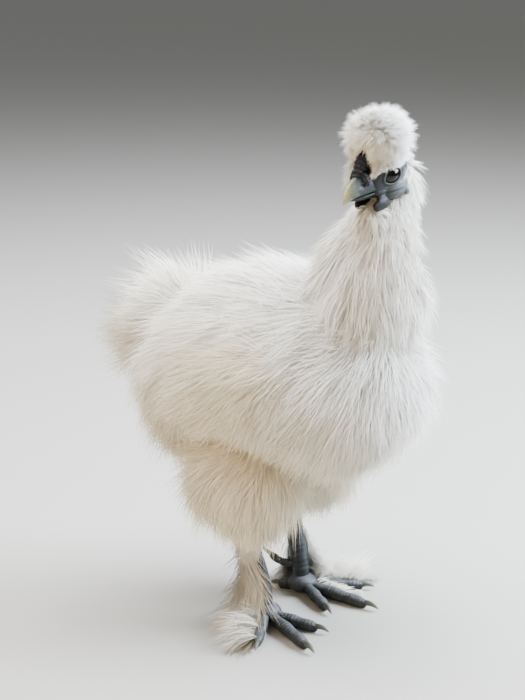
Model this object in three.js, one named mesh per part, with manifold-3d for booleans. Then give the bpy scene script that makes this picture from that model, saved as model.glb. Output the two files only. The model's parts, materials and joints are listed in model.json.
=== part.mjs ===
// A white silkie hen, life size, standing with her head turned to her right.
// Millimetres, +Z up. She faces -Y and her right side is -X.
// The origin is on the floor, under the middle of her bounding box.
// Every lock, vane and toe is placed from the body that it grows from, and each node is one closed solid.

import * as THREE from "three";
import { mergeVertices } from "three/addons/utils/BufferGeometryUtils.js";
import Module from "manifold-3d";

const wasm = await Module();
wasm.setup();

// Driving dimensions of the bird in her coat
const BODY_LENGTH = 212;
const BODY_WIDTH = 160;
const BODY_DEPTH = 154;
const BODY_MIDDLE_UP = 152;
const BODY_MIDDLE_FORWARD = 3;
const HEAD_FORWARD = 75;
const HEAD_UP = 280;
const HEAD_TURN = 90;
const HEAD_NOD = 10;
const HEAD_LENGTH = 54;
const NECK_WIDTH = 45;
const TAIL_LENGTH = 66;
const FOOT_SPREAD = 25;
const RIGHT_FOOT_FORWARD = 12;
const LEFT_FOOT_FORWARD = 1;
const MIDDLE_TOE = 57;
const EYE_WIDTH = 10.4;

// The coat: how far the tips of the locks stand above the solid core of each node
const BODY_COAT = 13;
const NECK_COAT = 8;
const CREST_COAT = 11;
const THIGH_COAT = 7;

// The clear gap between neighbouring nodes, and how deep a root is sunk
const GAP = 0.36;
const ROOT_SINK = 5;

const degrees = THREE.MathUtils.degToRad;
const lerp = THREE.MathUtils.lerp;

// A point given as forward, right and up from the origin of its frame.
const at = (forward, right, up) => new THREE.Vector3(-right, -forward, up);
const UP = at(0, 0, 1);
const FORWARD = at(1, 0, 0);

// A repeatable random number from -1 to 1.
function makeDraw(seed) {
  let state = seed;
  return () => {
    state = (state * 1664525 + 1013904223) % 4294967296;
    return (state / 4294967296) * 2 - 1;
  };
}

// A smooth body along a spine. Each size is [half width, rise above the spine, drop below it].
class Body {
  constructor({ spine, sizes, up = at(0, 0, 1), blunt = 2, sides = 16, rings = 12 }) {
    this.curve = new THREE.CatmullRomCurve3(spine);
    this.sizes = sizes.map((s) => new THREE.Vector3(...s));
    this.profile = new THREE.CatmullRomCurve3(this.sizes);
    Object.assign(this, { up, blunt, sides, rings });
  }

  // The point at share t from the spine's start and at an angle round it, 90 degrees being the top.
  point(t, angle, grow = 0) {
    const cosine = -Math.cos(Math.PI * t);
    const round = Math.pow(1 - Math.pow(Math.abs(cosine), this.blunt), 1 / this.blunt) || 0;
    const share = THREE.MathUtils.clamp((1 + cosine) / 2, 0, 1);
    const tangent = this.curve.getTangent(share);
    const side = new THREE.Vector3().crossVectors(tangent, this.up).normalize();
    const rise = new THREE.Vector3().crossVectors(side, tangent);
    const size = this.profile.getPoint(share);
    const height = Math.sin(angle) > 0 ? size.y : size.z;
    return this.curve
      .getPoint(share)
      .addScaledVector(tangent, grow * cosine)
      .addScaledVector(side, (size.x + grow) * round * Math.cos(angle))
      .addScaledVector(rise, (height + grow) * round * Math.sin(angle));
  }

  normal(t, angle) {
    const step = 0.01;
    const alongside = this.point(t + step, angle).sub(this.point(t - step, angle));
    const around = this.point(t, angle + step).sub(this.point(t, angle - step));
    return alongside.cross(around).normalize();
  }

  geometry(grow = 0) {
    const ball = new THREE.SphereGeometry(1, this.sides, this.rings);
    const position = ball.getAttribute("position");
    const uv = ball.getAttribute("uv");
    for (let i = 0; i < position.count; i++) {
      const t = 1 - uv.getY(i);
      const pole = t < 1e-6 || t > 1 - 1e-6;
      const p = this.point(t, pole ? 0 : uv.getX(i) * 2 * Math.PI, grow);
      position.setXYZ(i, p.x, p.y, p.z);
    }
    return ball;
  }
}

// Closes a geometry into a solid, turning it the right way out.
function solid(geometry, matrix) {
  const bare = new THREE.BufferGeometry();
  bare.setAttribute("position", geometry.getAttribute("position").clone());
  if (geometry.index) bare.setIndex(geometry.index.clone());
  if (matrix) bare.applyMatrix4(matrix);
  const merged = mergeVertices(bare, 1e-4);
  const vertProperties = new Float32Array(merged.getAttribute("position").array);
  const kept = [];
  for (let i = 0; i < merged.index.count; i += 3) {
    const [a, b, c] = [0, 1, 2].map((k) => merged.index.getX(i + k));
    if (a !== b && b !== c && a !== c) kept.push(a, b, c);
  }
  const made = new wasm.Manifold(
    new wasm.Mesh({ numProp: 3, vertProperties, triVerts: new Uint32Array(kept) }),
  );
  if (made.volume() > 0) return made;
  for (let i = 0; i < kept.length; i += 3) [kept[i], kept[i + 1]] = [kept[i + 1], kept[i]];
  return new wasm.Manifold(
    new wasm.Mesh({ numProp: 3, vertProperties, triVerts: new Uint32Array(kept) }),
  );
}

// A flat, tapered lock: a three-sided cone that is widest at its ring, flattened and bent along the lie.
// lift is the angle at which it leaves the surface and curl how far it bends back over its length.
// Grown, its faces all stand off by the same clearance, so its thin edges and tip reach out further.
const LOCK_RING = 0.607;
function lock(spec, grow = 0) {
  const { root, out, lie, length, width, thick, lift, curl, sink = ROOT_SINK } = spec;
  const cone = new THREE.ConeGeometry(1, 1, 3, 2);
  const position = cone.getAttribute("position");
  const side = new THREE.Vector3().crossVectors(lie, out).normalize();
  const whole = length + sink;
  const headingAt = (walked) => lift - curl * Math.max(0, (walked - sink) / length);
  const ahead = (heading, reach) =>
    new THREE.Vector3()
      .addScaledVector(lie, reach * Math.cos(heading))
      .addScaledVector(out, reach * Math.sin(heading));
  for (let i = 0; i < position.count; i++) {
    const height = position.getY(i);
    const share = height < -0.4 ? 0 : height < 0.4 ? LOCK_RING : 1;
    const p = root.clone().add(ahead(lift, -sink));
    const pace = (share * whole) / 16;
    for (let step = 0; step < 16; step++) p.add(ahead(headingAt(pace * (step + 0.5)), pace));
    if (share === 0) p.add(ahead(lift, -grow));
    if (share === 1) p.add(ahead(headingAt(((LOCK_RING + 1) / 2) * whole), 6 * grow));
    const round = Math.hypot(position.getX(i), position.getZ(i));
    if (share < 1 && round > 1e-6) {
      const angle = Math.atan2(position.getX(i), position.getZ(i));
      const size = share === 0 ? 0.42 : 1;
      const tall = size * thick * 0.6;
      const heading = headingAt(share * whole);
      const over = new THREE.Vector3()
        .addScaledVector(lie, -Math.sin(heading))
        .addScaledVector(out, Math.cos(heading));
      p.addScaledVector(side, Math.sin(angle) * size * width * 0.575 * (1 + grow / (0.75 * tall)));
      p.addScaledVector(over, Math.cos(angle) * tall + Math.sign(Math.cos(angle)) * grow);
    }
    position.setXYZ(i, p.x, p.y, p.z);
  }
  return solid(cone);
}

// The part of a direction that lies in the surface whose normal is out.
const along = (direction, out) =>
  direction.clone().addScaledVector(out, -direction.dot(out)).normalize();

// Locks in staggered rows round a body.
// choose(t, angle, p, out) gives the sizes of a lock, or nothing for a bare place.
function coatOf(body, rows, seed, choose) {
  const draw = makeDraw(seed);
  const specs = [];
  rows.forEach(({ t, count, start = 0, span = 360 }, row) => {
    for (let i = 0; i < count; i++) {
      const turn = start + (span * (i + (row % 2) / 2 + 0.5 + 0.18 * draw())) / count;
      const angle = degrees(turn);
      const share = t + 0.008 * draw();
      const root = body.point(share, angle);
      const out = body.normal(share, angle);
      const chosen = choose(share, angle, root, out, draw);
      if (chosen) specs.push({ root, out, ...chosen });
    }
  });
  return specs;
}

// Nodes of the bird, each a function that gives its pieces grown by some clearance
const recipes = new Map();
const define = (name, finish, parts) => recipes.set(name, { finish, parts });
const HEAD_NODES = /^(head|eye|earlobe|wattle|beak|comb|crest)/;

// Body, neck, thighs and tail as the solid core under the coat
const HALF_LENGTH = BODY_LENGTH / 2 - BODY_COAT * 0.7;
const HALF_WIDTH = BODY_WIDTH / 2 - BODY_COAT;
const HALF_DEPTH = BODY_DEPTH / 2 - BODY_COAT;
const torsoCore = new Body({
  spine: [
    at(BODY_MIDDLE_FORWARD - HALF_LENGTH, 0, BODY_MIDDLE_UP - 2),
    at(BODY_MIDDLE_FORWARD - HALF_LENGTH / 2, 0, BODY_MIDDLE_UP - 3),
    at(BODY_MIDDLE_FORWARD, 0, BODY_MIDDLE_UP),
    at(BODY_MIDDLE_FORWARD + HALF_LENGTH / 2, 0, BODY_MIDDLE_UP + 3),
    at(BODY_MIDDLE_FORWARD + HALF_LENGTH, 0, BODY_MIDDLE_UP + 13),
  ],
  sizes: [
    [HALF_WIDTH * 0.9, HALF_DEPTH * 0.84, HALF_DEPTH * 1.16],
    [HALF_WIDTH, HALF_DEPTH * 0.94, HALF_DEPTH * 1.22],
    [HALF_WIDTH, HALF_DEPTH, HALF_DEPTH],
    [HALF_WIDTH * 0.97, HALF_DEPTH * 1.06, HALF_DEPTH * 0.92],
    [HALF_WIDTH * 0.92, HALF_DEPTH * 1.06, HALF_DEPTH * 0.86],
  ],
  blunt: 2.15,
  sides: 18,
  rings: 12,
});

// The head is drawn in its own frame, 59 long from nape to beak tip.
// It is then sized, turned and lifted into place.
const headPlace = new THREE.Matrix4()
  .makeTranslation(at(HEAD_FORWARD, 0, HEAD_UP))
  .multiply(new THREE.Matrix4().makeRotationZ(degrees(-HEAD_TURN)))
  .multiply(new THREE.Matrix4().makeRotationX(degrees(HEAD_NOD)))
  .multiply(new THREE.Matrix4().makeScale(HEAD_LENGTH / 59, HEAD_LENGTH / 59, HEAD_LENGTH / 59));

const NECK_HALF = NECK_WIDTH / 2 - NECK_COAT;
const neckCore = new Body({
  spine: [
    at(HEAD_FORWARD - 22, 0, BODY_MIDDLE_UP + 28),
    at(HEAD_FORWARD - 6, 0, HEAD_UP - 64),
    at(HEAD_FORWARD, -1, HEAD_UP - 38),
    at(HEAD_FORWARD - 1, -13, HEAD_UP - 14),
    at(HEAD_FORWARD - 1, -24, HEAD_UP + 8),
  ],
  sizes: [
    [NECK_HALF * 2.4, NECK_HALF * 2.7, NECK_HALF * 2.3],
    [NECK_HALF * 1.55, NECK_HALF * 2.2, NECK_HALF * 1.5],
    [NECK_HALF * 1.15, NECK_HALF * 1.9, NECK_HALF * 1.15],
    [NECK_HALF * 1.05, NECK_HALF * 1.3, NECK_HALF * 0.95],
    [NECK_HALF * 0.95, NECK_HALF * 0.95, NECK_HALF * 0.9],
  ],
  up: at(-1, 0, 0),
  blunt: 3,
  sides: 16,
  rings: 10,
});

const skull = new Body({
  spine: [at(-18, 0, 3), at(-8, 0, 3.5), at(4, 0, 2.5), at(16, 0, -1.5), at(21, 0, -3)],
  sizes: [
    [12.5, 12, 14],
    [14, 14.2, 15.5],
    [13.8, 13.6, 14.5],
    [9.6, 8.2, 8.6],
    [8, 6.4, 6.6],
  ],
  up: UP,
  blunt: 2.3,
  sides: 16,
  rings: 11,
});

// Keeps the side of a solid that a plane's normal points to, the plane standing off from the origin.
const keepBeyond = (made, normal, offset, grow) => made.trimByPlane(normal.toArray(), offset - grow);

// The pieces of a node of the coat: its core, trimmed where it meets its neighbour, and its locks
const pile = (body, specs, trim) => (grow) => {
  const core = keepBeyond(solid(body.geometry(grow)), trim.normal, trim.offset, grow);
  return [core, ...specs.map((spec) => lock(spec, grow))];
};

// Torso locks lie back along the saddle and down over the breast
const wingZone = (p) => {
  const forward = -p.y;
  return forward > -62 && forward < 70 && p.z > 116 && p.z < 190 && Math.abs(p.x) > 34;
};
const neckZone = (p) => -p.y > 34 && p.z > 186;
const thighZone = (p) => -p.y > -22 && -p.y < 32 && Math.abs(p.x) > 14 && p.z < 102;
const tailZone = (p) => -p.y < -52 && p.z > 120;
const torsoRows = [0.19, 0.33, 0.47, 0.61, 0.75, 0.88, 0.97].map((t) => ({
  t,
  count: Math.round(4 + 5 * Math.sin(Math.PI * t)),
}));
const torsoLocks = coatOf(torsoCore, torsoRows, 11, (t, angle, p, out, draw) => {
  if (wingZone(p) || neckZone(p) || thighZone(p) || tailZone(p)) return null;
  const facing = Math.max(0, -out.y);
  const flow = at(-1, 0, -0.35 - 0.4 * Math.abs(out.x) - 1.2 * facing);
  return {
    lie: along(flow.add(new THREE.Vector3(0.12 * draw(), 0, 0)), out),
    length: 47 + 3 * draw(),
    width: 36 + 2 * draw(),
    thick: 3,
    lift: degrees(20 - 9 * facing + 2 * draw()),
    curl: degrees(34 + 16 * facing),
  };
});
const TAIL_FACE = -76;
const torsoTrim = { normal: at(1, 0, 0), offset: TAIL_FACE + GAP };
define("torso", "down", pile(torsoCore, torsoLocks, torsoTrim));

// Neck locks hang down all round, over the shoulders
const neckRows = [0.4, 0.58, 0.75, 0.9].map((t, i) => ({ t, count: [6, 5, 4, 4][i] }));
const neckLocks = coatOf(neckCore, neckRows, 23, (t, angle, p, out, draw) => {
  const low = THREE.MathUtils.clamp((0.8 - t) / 0.45, 0, 1);
  if (t > 0.7 && out.x < -0.1) return null;
  const level = along(out, UP);
  return {
    out: level,
    lie: along(at(-0.2, 0, -1), level),
    length: lerp(27, 44, low) + 2 * draw(),
    width: lerp(18, 27, low),
    thick: 2.2,
    lift: degrees(lerp(34, 24, low) + 2 * draw()),
    curl: degrees(lerp(40, 24, low)),
  };
});
const neckFace = at(0.33, 0, 0.94).normalize();
const neckTrim = { normal: neckFace, offset: neckFace.dot(at(60, 0, BODY_MIDDLE_UP + 46)) };
define("neck", "down", pile(neckCore, neckLocks, neckTrim));

// Tail: a low brush of soft vanes in three tiers, fanned from a short core
const tailCore = new Body({
  spine: [at(-62, 0, 163), at(-84, 0, 173), at(-106, 0, 182)],
  sizes: [
    [38, 30, 40],
    [34, 28, 33],
    [22, 19, 21],
  ],
  blunt: 2.2,
  sides: 16,
  rings: 8,
});
const tailRows = [0.45, 0.68, 0.9].map((t, i) => ({ t, count: [7, 5, 3][i] }));
const tailLocks = coatOf(tailCore, tailRows, 37, (t, angle, p, out, draw) => ({
  out: along(out, at(1, 0, 0)),
  lie: at(-1, 0, 0),
  length: TAIL_LENGTH * lerp(0.8, 0.62, t) + 2 * draw(),
  width: 24,
  thick: 2,
  lift: degrees(lerp(24, 10, t) + 2 * draw()),
  curl: degrees(out.z > 0 ? 40 : 26),
}));
define("tail", "down", pile(tailCore, tailLocks, { normal: at(-1, 0, 0), offset: -TAIL_FACE }));

// Wings: a folded wing on each flank, its vanes in tiers from the shoulder to the tip
const wingCore = new Body({
  spine: [at(56, 55, 170), at(34, 64, 167), at(4, 68, 160), at(-34, 62, 148)],
  sizes: [
    [15, 7, 7],
    [23, 8, 8],
    [24, 8, 8],
    [15, 6.5, 7],
  ],
  up: at(0, 1, 0),
  blunt: 2.3,
  sides: 16,
  rings: 12,
});
const wingRows = [
  { t: 0.13, count: 1, start: 50, span: 80 },
  { t: 0.32, count: 3, start: 38, span: 104 },
  { t: 0.54, count: 3, start: 38, span: 104 },
  { t: 0.76, count: 3, start: 46, span: 88 },
  { t: 0.93, count: 2, start: 60, span: 60 },
];
const wingLocks = (seed) =>
  coatOf(wingCore, wingRows, seed, (t, angle, p, out, draw) => ({
    lie: along(at(-1, 0.1, -0.42), out),
    length: lerp(34, 42, t) + 2 * draw(),
    width: 20,
    thick: 1.8,
    lift: degrees(15 + 2 * draw()),
    curl: degrees(24),
  }));
const across = new THREE.Matrix4().makeScale(-1, 1, 1);
const flip = (spec) => ({
  ...spec,
  root: spec.root.clone().applyMatrix4(across),
  out: spec.out.clone().transformDirection(across),
  lie: spec.lie.clone().transformDirection(across),
});
const WING_FACE = 60;
define("wing_right", "down", (grow) => {
  const core = solid(wingCore.geometry(grow));
  return [
    keepBeyond(core, at(0, 1, 0), WING_FACE, grow),
    ...wingLocks(41).map((spec) => lock(spec, grow)),
  ];
});
define("wing_left", "down", (grow) => {
  const core = solid(wingCore.geometry(grow), across);
  return [
    keepBeyond(core, at(0, -1, 0), WING_FACE, grow),
    ...wingLocks(43).map((spec) => lock(flip(spec), grow)),
  ];
});

// Head: a small bare-faced skull with an orbit of lids round each eye
const EYE_FORWARD = 6;
const EYE_OUT = 9.6;
const EYE_UP = 1.8;
const BEAK_FACE = 16;
const sides = [
  ["right", 1],
  ["left", -1],
];

function lids(side, grow) {
  const ring = new THREE.TorusGeometry(EYE_WIDTH / 2 + 0.6, 1.15 + grow, 4, 14);
  const place = new THREE.Matrix4()
    .makeTranslation(at(EYE_FORWARD, side * (EYE_OUT + 3.5), EYE_UP))
    .multiply(new THREE.Matrix4().makeRotationY(degrees(90)))
    .multiply(new THREE.Matrix4().makeScale(0.84, 1, 1));
  return solid(ring, place);
}

// A ball stretched along the head's forward, right and up directions
function headBall(forward, right, up, reach, half, tall, grow = 0, detail = [9, 6]) {
  const ball = new THREE.SphereGeometry(1, ...detail);
  const place = new THREE.Matrix4()
    .makeTranslation(at(forward, right, up))
    .multiply(new THREE.Matrix4().makeScale(half + grow, reach + grow, tall + grow));
  return solid(ball, place);
}

const CREST_FACE = 12;
define("head", "skin", (grow) => {
  const underCrest = keepBeyond(solid(skull.geometry(grow)), at(0, 0, -1), -CREST_FACE, grow);
  const core = keepBeyond(underCrest, at(-1, 0, 0), -BEAK_FACE, grow);
  return [core, ...sides.map(([, side]) => lids(side, grow))];
});
for (const [label, side] of sides) {
  const [reach, half, tall] = [EYE_WIDTH / 2, EYE_WIDTH / 2 - 0.4, EYE_WIDTH / 2 - 1];
  define(`eye_${label}`, "eye", (grow) => {
    const ball = headBall(EYE_FORWARD, side * EYE_OUT, EYE_UP, reach, half, tall, grow, [12, 8]);
    return [keepBeyond(ball, at(0, side, 0), EYE_OUT + 0.6, grow)];
  });
  define(`earlobe_${label}`, "lobe", (grow) => [headBall(-7, side * 11.4, -8, 4.6, 2.6, 3.6, grow)]);
  define(`wattle_${label}`, "comb", (grow) => [
    headBall(14, side * 6.6, -14.2, 6.4, 2.2, 5, grow),
    headBall(15.5, side * 6.4, -16.4, 4.6, 1.8, 4, grow),
  ]);
}

const beakUpper = new Body({
  spine: [at(8, 0, -4), at(17, 0, -4), at(26, 0, -3.9), at(34, 0, -4.2), at(41, 0, -7)],
  sizes: [
    [7.6, 12.6, 1.8],
    [7.4, 12.4, 1.8],
    [5.9, 10.6, 1.6],
    [4.2, 7.4, 1.5],
    [1.5, 2.2, 0.8],
  ],
  up: UP,
  blunt: 3,
  sides: 12,
  rings: 9,
});
const nostril = (side) => headBall(27.5, side * 5, 1.4, 2.2, 1.1, 1, 0, [8, 6]);
define("beak_upper", "horn", (grow) => {
  const whole = keepBeyond(solid(beakUpper.geometry(grow)), FORWARD, BEAK_FACE + GAP, grow);
  return grow ? [whole] : [whole.subtract(nostril(1)).subtract(nostril(-1))];
});
const beakLower = new Body({
  spine: [at(8, 0, -7.3), at(17, 0, -7.3), at(26, 0, -7.2), at(35.5, 0, -6.7)],
  sizes: [
    [6.8, 1.4, 4.4],
    [6.4, 1.4, 4.4],
    [4.8, 1.4, 3.8],
    [1.9, 1, 1.6],
  ],
  up: UP,
  blunt: 3,
  sides: 10,
  rings: 8,
});
define("beak_lower", "horn", (grow) => [
  keepBeyond(solid(beakLower.geometry(grow)), FORWARD, BEAK_FACE + GAP, grow),
]);

// Comb: a small mulberry comb, a cushion of bulbs from the nostrils up the forehead
const combLine = new THREE.CatmullRomCurve3([
  at(27.5, 0, 3),
  at(25, 0, 9.5),
  at(20, 0, 16),
  at(15, 0, 20.5),
]);
const COMB_HALF = [3.2, 4.3, 4.6, 3.2];
const combBulbs = [];
COMB_HALF.forEach((half, row) => {
  for (const column of row === 1 ? [-1, 0, 1] : [-0.75, 0.75]) {
    const share = (row + 0.35 + (column === 0 ? 0.45 : 0)) / (COMB_HALF.length + 0.2);
    combBulbs.push({ share, out: column * half, radius: 3.1 });
  }
});
const combCushion = new Body({
  spine: [0.02, 0.35, 0.7, 0.98].map((share) => combLine.getPoint(share)),
  sizes: [
    [3.4, 3.4, 5],
    [4.6, 3.4, 6],
    [4.8, 3.4, 6],
    [3, 3, 4],
  ],
  up: FORWARD,
  sides: 8,
  rings: 5,
});
const combBulb = ({ share, out, radius }, grow) => {
  const place = combLine.getPoint(share).add(at(0, out * 0.72, 0));
  return solid(new THREE.SphereGeometry(radius + grow, 7, 5), new THREE.Matrix4().makeTranslation(place));
};
define("comb", "comb", (grow) => [
  solid(combCushion.geometry(grow)),
  ...combBulbs.map((bulb) => combBulb(bulb, grow)),
]);

// Crest: a globe of locks that stand at the crown and arch down all round it
const crestCore = new Body({
  spine: [at(-18, 0, 17), at(-5, 0, 22), at(7, 0, 22), at(17, 0, 18)],
  sizes: [
    [15, 15, 10],
    [17, 17, 12],
    [17, 16.5, 12],
    [13, 13, 9],
  ],
  up: UP,
  blunt: 2.2,
  sides: 16,
  rings: 10,
});
const crestRows = [0.16, 0.38, 0.62, 0.86].map((t, i) => ({
  t,
  count: [5, 5, 6, 5][i],
  start: -12,
  span: 204,
}));
const crestLocks = coatOf(crestCore, crestRows, 61, (t, angle, p, out, draw) => {
  const upright = Math.max(0, out.dot(UP));
  const crown = at(-1, 0, 40);
  const away = p.clone().sub(crown).addScaledVector(UP, -6);
  return {
    lie: along(away, out),
    length: lerp(17, 19, upright) + draw(),
    width: 17,
    thick: 1.8,
    lift: degrees(lerp(30, 50, upright) + 3 * draw()),
    curl: degrees(lerp(50, 68, upright)),
    sink: 3.5,
  };
});
const crestTrim = { normal: UP, offset: CREST_FACE + GAP };
define("crest", "down", pile(crestCore, crestLocks, crestTrim));

// Legs: a feathered thigh, a booted shank with its pad, and five toes, the fifth standing up behind
const HOCK_UP = 60;
const HOCK_BACK = 14;
const PAD_RADIUS = 9.5;
const feet = {
  right: { side: 1, forward: RIGHT_FOOT_FORWARD, turn: 18, seed: 71 },
  left: { side: -1, forward: LEFT_FOOT_FORWARD, turn: 3, seed: 83 },
};
// Each toe: its angle outward from straight ahead, its length without the claw, and its half width
const TOES = {
  1: { angle: 196, length: 17, half: 3.4, claw: 8 },
  2: { angle: -30, length: 0.62 * MIDDLE_TOE, half: 4, claw: 9 },
  3: { angle: 2, length: 0.84 * MIDDLE_TOE, half: 4.3, claw: 10 },
  4: { angle: 40, length: 0.68 * MIDDLE_TOE, half: 3.9, claw: 8.5 },
  5: { angle: 206, length: 20, half: 3.2, claw: 9 },
};
const TOE_UP = 4.2;

// The world below the floor, which trims each sole to a flat
const floorCut = () => {
  const slab = new THREE.BoxGeometry(400, 400, 60);
  return solid(slab, new THREE.Matrix4().makeTranslation(0, 0, -30));
};

function toeSpine(foot, toe, index) {
  const outward = degrees(toe.angle + foot.turn);
  const ahead = (reach, up) => {
    const spread = FOOT_SPREAD + reach * Math.sin(outward);
    return at(foot.forward + reach * Math.cos(outward), foot.side * spread, up);
  };
  if (index === "5") {
    return [ahead(3, 19), ahead(9, 18.5), ahead(16, 20.5), ahead(22, 25)];
  }
  const root = index === "1" ? 2 : 4;
  const base = index === "1" ? 6.5 : 6;
  return [
    ahead(root, base),
    ahead(lerp(root, toe.length, 0.38), TOE_UP + 0.9),
    ahead(lerp(root, toe.length, 0.7), TOE_UP + 0.2),
    ahead(toe.length, TOE_UP - 0.6),
  ];
}

function clawSpine(spine) {
  const tip = spine[3];
  const run = tip.clone().sub(spine[2]).normalize();
  return (length, rise) => [
    tip.clone().addScaledVector(run, -3),
    tip.clone().addScaledVector(run, 0.5).add(at(0, 0, rise * 0.12)),
    tip.clone().addScaledVector(run, length * 0.55).add(at(0, 0, rise * 0.1)),
    tip.clone().addScaledVector(run, length).add(at(0, 0, -rise)),
  ];
}

for (const [label, foot] of Object.entries(feet)) {
  const { side, forward, seed } = foot;
  const spread = side * FOOT_SPREAD;
  const thighCore = new Body({
    spine: [
      at(forward * 0.4 + 8, side * 38, 112),
      at(forward * 0.7 + 2, side * 35, 84),
      at(forward - HOCK_BACK + 2, side * 29, HOCK_UP - 4),
    ],
    sizes: [
      [24, 40, 28],
      [22, 36, 22],
      [11, 15, 11],
    ],
    up: at(-1, 0, 0),
    blunt: 2.4,
    sides: 12,
    rings: 8,
  });
  const thighRows = [0.54, 0.76].map((t) => ({ t, count: 5 }));
  const thighLocks = coatOf(thighCore, thighRows, seed, (t, angle, p, out, draw) => {
    if (p.z > 96) return null;
    return {
      lie: along(at(-0.35, 0, -1), out),
      length: lerp(36, 20, (t - 0.5) / 0.36) + 2 * draw(),
      width: lerp(20, 14, (t - 0.5) / 0.36),
      thick: 2.4,
      lift: degrees(20 + 2 * draw()),
      curl: degrees(30),
      sink: 4,
    };
  });
  const thighTrim = { normal: at(0, 0, -1), offset: -96 };
  define(`thigh_${label}`, "down", pile(thighCore, thighLocks, thighTrim));

  const shankCore = new Body({
    spine: [
      at(forward - HOCK_BACK, side * (FOOT_SPREAD + 3), HOCK_UP + 4),
      at(forward - HOCK_BACK + 4, side * (FOOT_SPREAD + 2), HOCK_UP - 14),
      at(forward - 4, spread, 26),
      at(forward, spread, 4),
    ],
    sizes: [
      [6.6, 7, 7],
      [5.4, 6, 5.6],
      [5.2, 5.8, 5.4],
      [6.2, 6.4, 6.4],
    ],
    up: at(-1, 0, 0),
    blunt: 3,
    sides: 10,
    rings: 9,
  });
  const pad = (grow) => {
    const ball = new THREE.SphereGeometry(1, 10, 7);
    const place = new THREE.Matrix4()
      .makeTranslation(at(forward, spread, 6.4))
      .multiply(new THREE.Matrix4().makeScale(PAD_RADIUS + grow, PAD_RADIUS + grow, 7.6 + grow));
    return solid(ball, place);
  };
  const outer = side > 0 ? 180 : 0;
  const bootRows = [0.55, 0.76].map((t) => ({ t, count: 3, start: outer - 44, span: 88 }));
  const bootLocks = coatOf(shankCore, bootRows, seed + 1, (t, angle, p, out, draw) => {
    const length = 37 + 3 * draw();
    const drop = Math.min(0.8, Math.max(0.06, (p.z - 8) / length));
    return {
      lie: along(at(-0.12 + 0.3 * draw(), 0, -1), out),
      length,
      width: 16,
      thick: 1.8,
      lift: Math.acos(drop),
      curl: 0,
      sink: 4,
    };
  });
  define(`shank_${label}`, "scale", (grow) => {
    const boot = bootLocks.map((spec) => lock(spec, grow));
    const pieces = [solid(shankCore.geometry(grow)), pad(grow), ...boot];
    return grow ? pieces : pieces.map((piece) => piece.subtract(floorCut()));
  });

  for (const [index, toe] of Object.entries(TOES)) {
    const spine = toeSpine(foot, toe, index);
    const standing = index === "5";
    const toeCore = new Body({
      spine,
      sizes: [1.05, 0.86, 1, 0.8, 0.92, 0.72].map((share) => {
        const half = toe.half * share;
        return [half, half, standing ? half : Math.max(half, TOE_UP + 0.4)];
      }),
      blunt: 4,
      sides: 6,
      rings: 7,
    });
    const claw = new Body({
      spine: clawSpine(spine)(toe.claw, standing ? -4 : 0.9),
      sizes: [
        [toe.half * 0.5, toe.half * 0.55, toe.half * 0.5],
        [toe.half * 0.46, toe.half * 0.5, toe.half * 0.45],
        [toe.half * 0.3, toe.half * 0.36, toe.half * 0.3],
        [0.5, 0.5, 0.5],
      ],
      blunt: 3,
      sides: 5,
      rings: 5,
    });
    const spurs = [];
    if (index === "4") {
      const draw = makeDraw(seed + 2);
      for (const t of [0.35, 0.65]) {
        const angle = degrees(side > 0 ? 20 : 160);
        const out = toeCore.normal(t, angle);
        spurs.push({
          root: toeCore.point(t, angle),
          out,
          lie: along(toeCore.curve.getTangent(t), out),
          length: 21 + 2 * draw(),
          width: 13,
          thick: 1.6,
          lift: degrees(46 + 5 * draw()),
          curl: degrees(52),
          sink: 3,
        });
      }
    }
    define(`toe_${index}_${label}`, "scale", (grow) => {
      const pieces = [solid(toeCore.geometry(grow)), ...spurs.map((spec) => lock(spec, grow))];
      return grow ? pieces : pieces.map((piece) => piece.subtract(floorCut()));
    });
    define(`claw_${index}_${label}`, "horn", (grow) => [solid(claw.geometry(grow))]);
  }
}

// Finishes of the bird's coat, skin and horn
const FINISHES = {
  down: { color: 0xefebdd, roughness: 0.9 },
  skin: { color: 0x5b636a, roughness: 0.7 },
  lobe: { color: 0x7e9298, roughness: 0.7 },
  comb: { color: 0x3c373c, roughness: 0.65 },
  horn: { color: 0x8a908c, roughness: 0.45 },
  scale: { color: 0x474d54, roughness: 0.6 },
  eye: { color: 0x0d0c0d, roughness: 0.08 },
};
const materials = {};
for (const [name, look] of Object.entries(FINISHES)) {
  materials[name] = new THREE.MeshStandardMaterial({ metalness: 0, ...look });
}

// Each node is cut clear of the nodes before it, so that the harder part keeps its shape
const HEAD_ORDER = ["eye", "claw", "beak_upper", "beak_lower", "head", "earlobe", "wattle", "crest", "comb"];
const LEG_ORDER = ["shank", "toe_3", "toe_1", "toe_2", "toe_4", "toe_5"];
const BODY_ORDER = ["wing", "thigh", "torso", "tail"];
const ORDER = [...HEAD_ORDER, "neck", ...LEG_ORDER, ...BODY_ORDER];
const rank = (name) => ORDER.findIndex((stem) => name.startsWith(stem));
const names = [...recipes.keys()].sort((a, b) => rank(a) - rank(b));
function join(name, grow) {
  const whole = wasm.Manifold.union(recipes.get(name).parts(grow));
  return HEAD_NODES.test(name) ? whole.transform(headPlace.elements) : whole;
}
const grown = names.map((name) => join(name, GAP));
const boxOf = (made) => {
  const { min, max } = made.boundingBox();
  return new THREE.Box3(new THREE.Vector3(...min), new THREE.Vector3(...max));
};
const grownBoxes = grown.map(boxOf);

// Joins a node's pieces, cuts it clear of its neighbours and keeps its largest closed body.
function carve(name) {
  let whole = join(name, 0);
  const room = boxOf(whole);
  for (let i = 0; i < names.indexOf(name); i++) {
    if (grownBoxes[i].intersectsBox(room)) whole = whole.subtract(grown[i]);
  }
  const bodies = whole.decompose().sort((a, b) => b.volume() - a.volume());
  return bodies[0];
}

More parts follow.
